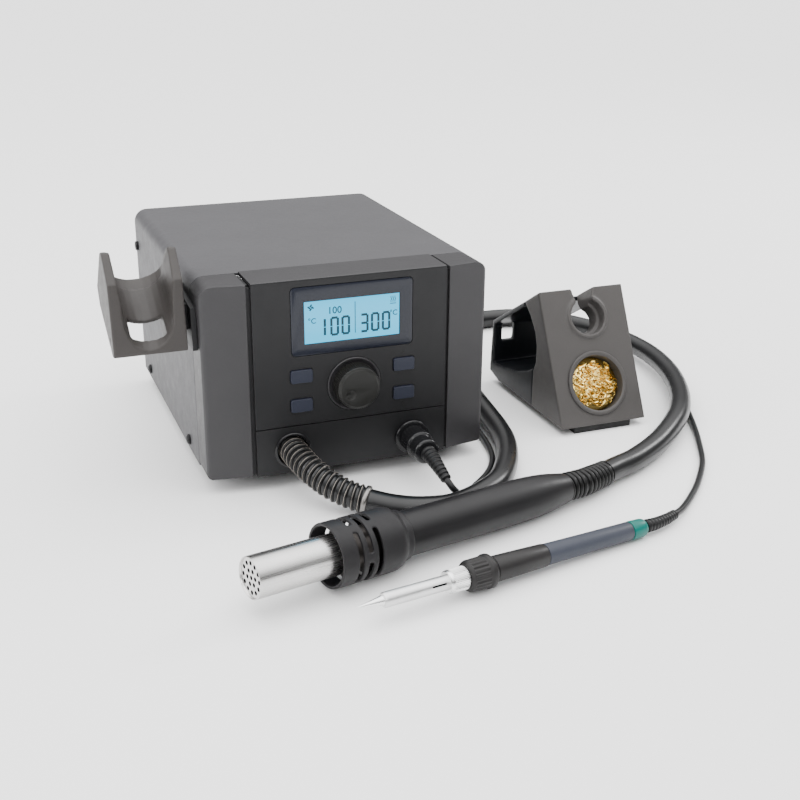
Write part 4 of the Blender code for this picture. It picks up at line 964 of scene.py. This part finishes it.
class STATION_OT_ports(bpy.types.Operator):
    """Hose gland, cord socket and the round plug in it"""
    bl_idname = "station.ports"
    bl_label = "Ports"

    def execute(self, context):
        gland = turned("hose_gland_ring", [(-8.0, 10.1), (0.3, 10.1), (0.3, 11.8), (1.0, 11.8), (1.5, 11.2),
                                           (1.5, 10.3), (1.1, 9.9), (-7.0, 9.6)], 96)
        placed(gland, on_panel(-40.0, 25.4))
        done(gland, "station", "glossy_black", ["hose_gland"])

        at = on_panel(40.0, 23.2)
        socket = turned("iron_socket_ring", [(-13.0, 8.6), (0.3, 8.7), (0.3, 11.3), (0.6, 11.5), (2.4, 11.5),
                                             (3.0, 11.1), (3.2, 10.4), (3.2, 9.0)], 96)
        placed(socket, at)
        done(socket, "station", "glossy_black", ["iron_socket"])

        plug = turned("iron_plug_body", [(3.3, 8.4), (3.8, 8.8), (4.6, 8.9), (12.6, 8.5), (13.4, 8.5),
                                         (14.2, 9.1), (14.8, 9.3), (16.6, 9.3), (17.2, 9.0), (17.8, 8.0),
                                         (19.0, 7.8), (23.2, 7.7), (24.0, 8.1), (24.8, 8.3), (27.2, 8.3),
                                         (28.0, 7.9), (28.6, 7.0), (28.8, 5.4)], 96)
        ribbed(plug, 4.4, 12.8, 24, 0.5)
        placed(round_edges(plug, 0.00012, 2, 25), at)
        done(plug, "station", "glossy_black", ["iron_plug"])
        return {"FINISHED"}


class STATION_OT_holder(bpy.types.Operator):
    """Cradle that holds the handpiece on the left side"""
    bl_idname = "station.holder"
    bl_label = "Holder"

    def execute(self, context):
        cradle = merged_copy("handle_cradle", "handle_cradle_moulding")
        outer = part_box("handle_cradle")[0].x / MM
        for y, z in ((14.0, 104.0), (16.5, 97.0)):
            hole = rod(1.1, -1.5, 1.5)
            spot = station(0, y, z) / MM
            placed(hole, Matrix.Translation(Vector((outer, spot.y, spot.z)) * MM)
                   @ Matrix.Rotation(math.radians(90), 4, "Y"))
            cut(cradle, hole)
        slope = math.radians(32)
        across, rise = Vector((1, 0, 0)), Vector((0, -math.sin(slope), math.cos(slope)))
        channel = Matrix((across, rise, across.cross(rise))).transposed().to_4x4()
        channel = Matrix.Translation(station(-121.95, 26.0, 129.0)) @ channel
        hollow = block("hollow", (-10.5, -40.0, -14.0), (10.5, -8.0, 20.0))
        cut(hollow, rod(17.3, -40.0, 60.0, 96))
        cut(cradle, placed(hollow, channel))
        done(smoothed(cradle), "station", "holder_moulding", ["handle_cradle"], 40, True)
        return {"FINISHED"}


class STATION_OT_handpiece(bpy.types.Operator):
    """Nozzle with its perforated face, the grip, and the wound relief at the hose"""
    bl_idname = "station.handpiece"
    bl_label = "Handpiece"

    def execute(self, context):
        nozzle = turned("nozzle_body", behind([(1.0, 10.5), (0.4, 10.7), (0.0, 11.0), (0.0, 11.3),
                                               (0.3, 11.55), (49.0, 11.55), (51.0, 11.55),
                                               (90.0, 11.55)]), 96)
        spots = [(0.0, 0.0)]
        for ring_r, count in ((4.1, 6), (8.1, 12)):
            for number in range(count):
                angle = 2 * math.pi * (number + 0.2) / count
                spots.append((ring_r * math.cos(angle), ring_r * math.sin(angle)))
        holes = joined([rod(1.28, -6.0, 2.0, 16, spot) for spot in spots], "air_holes")
        cut(nozzle, holes)
        nozzle.data.materials.append(bpy.data.materials["nozzle_brushed"])
        nozzle.data.materials.append(bpy.data.materials["hole_painted_shade"])
        nozzle.data.materials.append(bpy.data.materials["nozzle_painted_shade"])
        # Walls and floors of the shallow air holes take the near-black: painted shade.
        for face in nozzle.data.polygons:
            if face.center.z < -1.2 * MM and face.center.xy.length < 10.4 * MM:
                face.material_index = 1
            # Faces more than 50 mm behind the mouth, inside the guard, take the dark steel: painted shade.
            elif face.center.z < -50 * MM:
                face.material_index = 2
        placed(nozzle, HANDPIECE)
        done(nozzle, "handpiece", None, ["nozzle_tube", "nozzle_diffuser"], 25)

        length_back = (HANDPIECE.inverted() @ (STATION_AT + Vector(RELIEF_ROUTE[0]))).z / -MM
        outline = [Vector((distance, radius, 0)) for distance, radius in
                   ((94.9, 12.9), (108, 13.0), (125, 13.0), (145, 13.15), (165, 13.2), (180, 13.1),
                    (191, 12.8), (200, 12.2), (207, 11.4), (213, 10.4), (length_back, 9.2))]
        curve = [(point.x, point.y) for point in smooth_route(outline, 48)]
        grip = turned("handle_grip", behind([(94.9, 12.2)] + curve + [(length_back + 0.2, 8.6)]), 96)
        placed(grip, HANDPIECE)
        done(grip, "handpiece", "handle_moulding", ["handle_shell"])

        relief = smooth_route(in_frame(RELIEF_ROUTE), 40)
        core = tube("relief_core", relief, 0.0078, 24, [0.0079 - 0.0008 * n / 39 for n in range(40)])
        coils = tube("relief_coils", winding(relief, 11, 0.0078, 0.0070), 0.0014, 10)
        wound = joined([core, coils], "hose_relief_coils")
        done(wound, "handpiece", "coil_black", ["hose_relief"], 50)
        return {"FINISHED"}


class STATION_OT_guard(bpy.types.Operator):
    """Slotted guard round the heater, open at its front"""
    bl_idname = "station.guard"
    bl_label = "Heater guard"

    ROWS = [(46, 18.1), (46.8, 18.2), (50, 18.2), (55.4, 18.2), (56.2, 18.2), (59.2, 18.2), (60.0, 18.2),
            (61.6, 18.2), (62.4, 18.2), (65.4, 18.2), (66.2, 18.2), (67.8, 18.2), (68.6, 18.2), (71.6, 18.2),
            (72.4, 18.2), (78, 18.2), (84.0, 18.2), (86.4, 18.0), (88.4, 17.0), (90.2, 15.2), (91.4, 14.6),
            (95.4, 14.6)]
    SLOT_ROWS = ((56.2, 59.2), (62.4, 65.4), (68.6, 71.6))
    COLUMN = 6                # degrees from one column of faces to the next
    FIRST = 4                 # where the first column starts
    HALF_SLOT = 51

    def in_slot(self, centre):
        distance = -centre.z / MM
        angle = math.degrees(math.atan2(centre.y, centre.x))
        for row, (near, far) in enumerate(self.SLOT_ROWS):
            if near < distance < far:
                middle = 60 * (row % 2) + 7
                off = (angle - middle + 60) % 120 - 60
                return abs(off) < self.HALF_SLOT
        return False

    def execute(self, context):
        only()
        distance, radius = self.ROWS[0]
        bpy.ops.mesh.primitive_circle_add(vertices=360 // self.COLUMN, radius=radius * MM,
                                          fill_type="NOTHING", location=(0, 0, -distance * MM),
                                          rotation=(0, 0, math.radians(self.FIRST)))
        guard = named(context.object, "heater_guard_shell")
        bpy.ops.object.mode_set(mode="EDIT")
        bpy.ops.mesh.select_all(action="SELECT")
        for next_distance, next_radius in self.ROWS[1:]:
            bpy.ops.mesh.extrude_region_move(
                TRANSFORM_OT_translate={"value": (0, 0, (distance - next_distance) * MM)})
            share = next_radius / radius
            bpy.ops.transform.resize(value=(share, share, 1), center_override=(0, 0, 0))
            distance, radius = next_distance, next_radius
        bpy.ops.object.mode_set(mode="OBJECT")
        bpy.ops.object.transform_apply(location=True, rotation=True)
        clean(guard)
        inward = [face for face in guard.data.polygons if face.normal.xy.dot(face.center.xy) < 0]
        bpy.ops.object.mode_set(mode="EDIT")
        bpy.ops.mesh.select_all(action="SELECT")
        if len(inward) > len(guard.data.polygons) / 2:
            bpy.ops.mesh.flip_normals()
        bpy.ops.mesh.select_mode(type="FACE")
        bpy.ops.mesh.select_all(action="DESELECT")
        bpy.ops.object.mode_set(mode="OBJECT")
        for face in guard.data.polygons:
            face.select = self.in_slot(face.center)
        bpy.ops.object.mode_set(mode="EDIT")
        bpy.ops.mesh.delete(type="FACE")
        bpy.ops.object.mode_set(mode="OBJECT")
        apply_modifier(guard, "wall", "SOLIDIFY", thickness=1.8 * MM, offset=-1.0)
        apply_modifier(guard, "rounding", "SUBSURF", levels=2, render_levels=2)
        placed(guard, HANDPIECE)
        done(guard, "handpiece", "guard_moulding", ["heater_guard"], 60)
        return {"FINISHED"}


class STATION_OT_iron(bpy.types.Operator):
    """Soldering iron: tip, slotted sleeve, knurled nut, ribbed nut, two grips and the coloured ring"""
    bl_idname = "station.iron"
    bl_label = "Soldering iron"

    def execute(self, context):
        sizes = context.scene.station_sizes
        tip = turned("iron_tip_cone", behind([(0.0, 0.12), (0.3, 0.4), (7.0, 1.35), (12.4, 2.3), (14.0, 2.7),
                                              (15.0, 2.8), (40.0, 2.8)]), 48)
        done(placed(tip, IRON), "iron", "tip_bright", ["iron_tip"])

        sleeve = turned("tip_sleeve_tube", behind([(15.0, 3.2), (15.0, 3.6), (15.5, 4.0), (16.2, 4.15),
                                                   (55.0, 4.15), (55.2, 5.2), (56.5, 5.2)]), 64)
        for number in range(4):
            slot = block("slot", (2.0, -0.5, -52.0), (7.0, 0.5, -43.0))
            round_edges(slot, 0.00045, 3)
            cut(sleeve, placed(slot, Matrix.Rotation(math.radians(25 + 90 * number), 4, "Z")))
        sleeve.data.materials.append(bpy.data.materials["sleeve_satin"])
        sleeve.data.materials.append(bpy.data.materials["hole_painted_shade"])
        # Walls and floors of the shallow slots take the near-black: painted shade.
        for face in sleeve.data.polygons:
            if -52.1 * MM < face.center.z < -42.9 * MM and face.center.xy.length < 4.05 * MM:
                face.material_index = 1
        done(placed(sleeve, IRON), "iron", None, ["tip_sleeve"])

        nut = turned("sleeve_nut_knurled", behind([(54.0, 4.6), (54.0, 5.7), (54.4, 6.1), (55.4, 6.3),
                                                   (56.2, 6.3), (56.6, 6.4), (65.6, 6.4), (66.1, 6.0)]), 176)
        ribbed(nut, -65.7, -56.5, 44, 0.22)
        done(placed(nut, IRON), "iron", "nut_bright", ["sleeve_nut"], 20)

        collar = turned("grip_nut_ribbed", behind([(66.3, 6.6), (66.3, 7.4), (66.9, 7.9), (68.0, 8.6),
                                                   (68.4, 8.75), (77.4, 8.9), (78.0, 8.7), (78.5, 8.9),
                                                   (79.0, 9.4), (79.6, 9.55), (81.2, 9.55), (81.7, 9.4),
                                                   (82.2, 8.9), (83.4, 8.0), (84.0, 7.4)]),
                        sizes.nut_ribs * 4)
        ribbed(collar, -77.6, -68.2, sizes.nut_ribs, 0.55)
        placed(round_edges(collar, 0.00014, 2, 25), IRON)
        done(collar, "iron", "front_grip_rubber", ["grip_nut"], 25)

        front = turned("front_grip_sleeve", behind([(84.3, 6.8), (84.5, 7.15), (85.0, 7.25), (100.0, 7.0),
                                                    (119.0, 6.5), (119.4, 6.3), (119.6, 5.8)]), 64)
        done(placed(front, IRON), "iron", "front_grip_rubber", ["front_grip"])
        rear = turned("rear_grip_sleeve", behind([(119.8, 5.6), (120.0, 6.05), (120.5, 6.15), (150.0, 5.8),
                                                  (181.6, 5.6), (182.1, 5.4), (182.3, 5.0)]), 64)
        done(placed(rear, IRON), "iron", "rear_grip_rubber", ["rear_grip"])
        cap = turned("end_ring_cap", behind([(182.5, 5.2), (182.7, 5.6), (183.2, 5.72), (191.4, 5.5),
                                             (192.6, 5.2), (193.6, 4.6), (194.0, 3.8)]), 64)
        done(placed(cap, IRON), "iron", "ring_plastic", ["end_ring"])
        return {"FINISHED"}


def cup_frame():
    """Place of the wool cup: its centre on the stand's face, with Z out of the face."""
    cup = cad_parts["wool_cup"].data
    spots = {tuple(round(c, 6) for c in v.co) for v in cup.vertices}
    centre = sum((Vector(spot) for spot in spots), Vector()) / len(spots)
    slope = math.atan2(92.6 - 4.5, 51.2 - 5.5)
    normal = Vector((0, -math.sin(slope), math.cos(slope)))
    reach = max((v.co - centre).dot(normal) for v in cup.vertices) - 1.6 * MM
    turn = normal.to_track_quat("Z", "Y").to_matrix().to_4x4()
    return Matrix.Translation(centre + normal * reach) @ turn


class STATION_OT_stand(bpy.types.Operator):
    """Iron stand: grey face moulding, dark rear shell and the wool cup's ring"""
    bl_idname = "station.stand"
    bl_label = "Iron stand"

    def execute(self, context):
        for part, material, slot in (("stand_front", "stand_moulding", "stand_grey"),
                                     ("stand_rear", "stand_dark", "stand_black")):
            shell = smoothed(merged_copy(part, part + "_moulding"))
            done(shell, "iron_stand", material, [part], 40, True)
        cup = turned("wool_cup_ring", [(-14.0, 21.2), (0.3, 21.2), (0.3, 22.9), (0.9, 23.1), (1.4, 22.7),
                                       (1.6, 22.0), (1.5, 20.6), (1.0, 19.9), (-13.4, 19.6)], 96)
        placed(cup, cup_frame())
        done(cup, "iron_stand", "stand_moulding", ["wool_cup"], 35)
        return {"FINISHED"}


class STATION_OT_wool(bpy.types.Operator):
    """Curled brass ribbon that fills the cup"""
    bl_idname = "station.wool"
    bl_label = "Brass wool"

    CUP_R = 18.6
    CURL_STEPS = 90

    def strand(self, draw):
        """One ribbon: small curls that wander through the cup, kept inside its wall."""
        points = []
        spot = Vector((draw.uniform(-14, 14), draw.uniform(-14, 14), draw.uniform(-8, -1)))
        heading, curl = draw.uniform(0, 2 * math.pi), draw.uniform(1.9, 3.4)
        spin, lean = draw.choice((-1, 1)) * draw.uniform(0.42, 0.7), draw.uniform(0, 2 * math.pi)
        for step in range(self.CURL_STEPS):
            heading += draw.uniform(-0.35, 0.35) * 0.5
            spot += Vector((math.cos(heading), math.sin(heading), 0)) * 0.42
            if spot.xy.length > self.CUP_R - 3:
                heading = math.atan2(-spot.y, -spot.x) + draw.uniform(-0.8, 0.8)
            turn = spin * step
            loop = Vector((math.cos(turn), math.sin(turn) * math.cos(lean), math.sin(turn) * 0.8)) * curl
            point = spot + loop
            far = point.xy.length
            if far > self.CUP_R:
                point.xy *= self.CUP_R / far
            crown = 1.6 - 6.0 * (min(far, self.CUP_R) / self.CUP_R) ** 3
            point.z = max(-12.0, min(point.z, crown))
            points.append(point * MM)
        return points

    def execute(self, context):
        draw = random.Random(11)
        only()
        curve = bpy.data.curves.new("wool_ribbons", "CURVE")
        curve.dimensions = "3D"
        curve.extrude = 0.00042
        curve.bevel_depth = 0.00007
        curve.bevel_resolution = 0
        for number in range(context.scene.station_sizes.wool_strands):
            points = self.strand(draw)
            spline = curve.splines.new("POLY")
            spline.points.add(len(points) - 1)
            for index, (point, co) in enumerate(zip(spline.points, points)):
                point.co = (*co, 1.0)
                point.tilt = index * 0.12 + number
        ribbons = bpy.data.objects.new("brass_wool_ribbons", curve)
        context.scene.collection.objects.link(ribbons)
        only(ribbons)
        bpy.ops.object.convert(target="MESH")
        ribbons = named(context.object, "brass_wool_ribbons")
        bed = turned("wool_bed", [(-13.0, 19.3), (-6.5, 19.3), (-5.0, 17.5), (-3.6, 10.0), (-3.0, 3.0)], 48)
        placed(bed, cup_frame())
        done(bed, "iron_stand", "wool_brass")
        placed(ribbons, cup_frame())
        done(ribbons, "iron_stand", "wool_brass", ["brass_wool"], 40)
        return {"FINISHED"}


class STATION_PT_pieces(bpy.types.Panel):
    """Every piece of the station, in the order they are built"""
    bl_label = "Hot Air Station"
    bl_idname = "STATION_PT_pieces"
    bl_space_type = "VIEW_3D"
    bl_region_type = "UI"
    bl_category = "Station"

    def draw(self, context):
        for piece in PIECES:
            self.layout.operator(piece.bl_idname)
        for settings in (context.scene.station_sizes, context.scene.station_colours):
            box = self.layout.box()
            for name in settings.__annotations__:
                box.prop(settings, name)


PIECES = (STATION_OT_stage, STATION_OT_hose, STATION_OT_cord, STATION_OT_casing, STATION_OT_display,
          STATION_OT_keys, STATION_OT_knob, STATION_OT_ports, STATION_OT_holder, STATION_OT_handpiece,
          STATION_OT_guard, STATION_OT_iron, STATION_OT_stand, STATION_OT_wool)
CLASSES = (StationColours, StationSizes, *PIECES, STATION_PT_pieces)


def register():
    for kind in CLASSES:
        bpy.utils.register_class(kind)
    bpy.types.Scene.station_colours = PointerProperty(type=StationColours)
    bpy.types.Scene.station_sizes = PointerProperty(type=StationSizes)


def unregister():
    del bpy.types.Scene.station_sizes
    del bpy.types.Scene.station_colours
    for kind in reversed(CLASSES):
        bpy.utils.unregister_class(kind)


def main():
    register()
    make_materials(bpy.context.scene.station_colours)
    for piece in PIECES:
        group, name = piece.bl_idname.split(".")
        getattr(getattr(bpy.ops, group), name)()


if __name__ == "__main__":
    main()
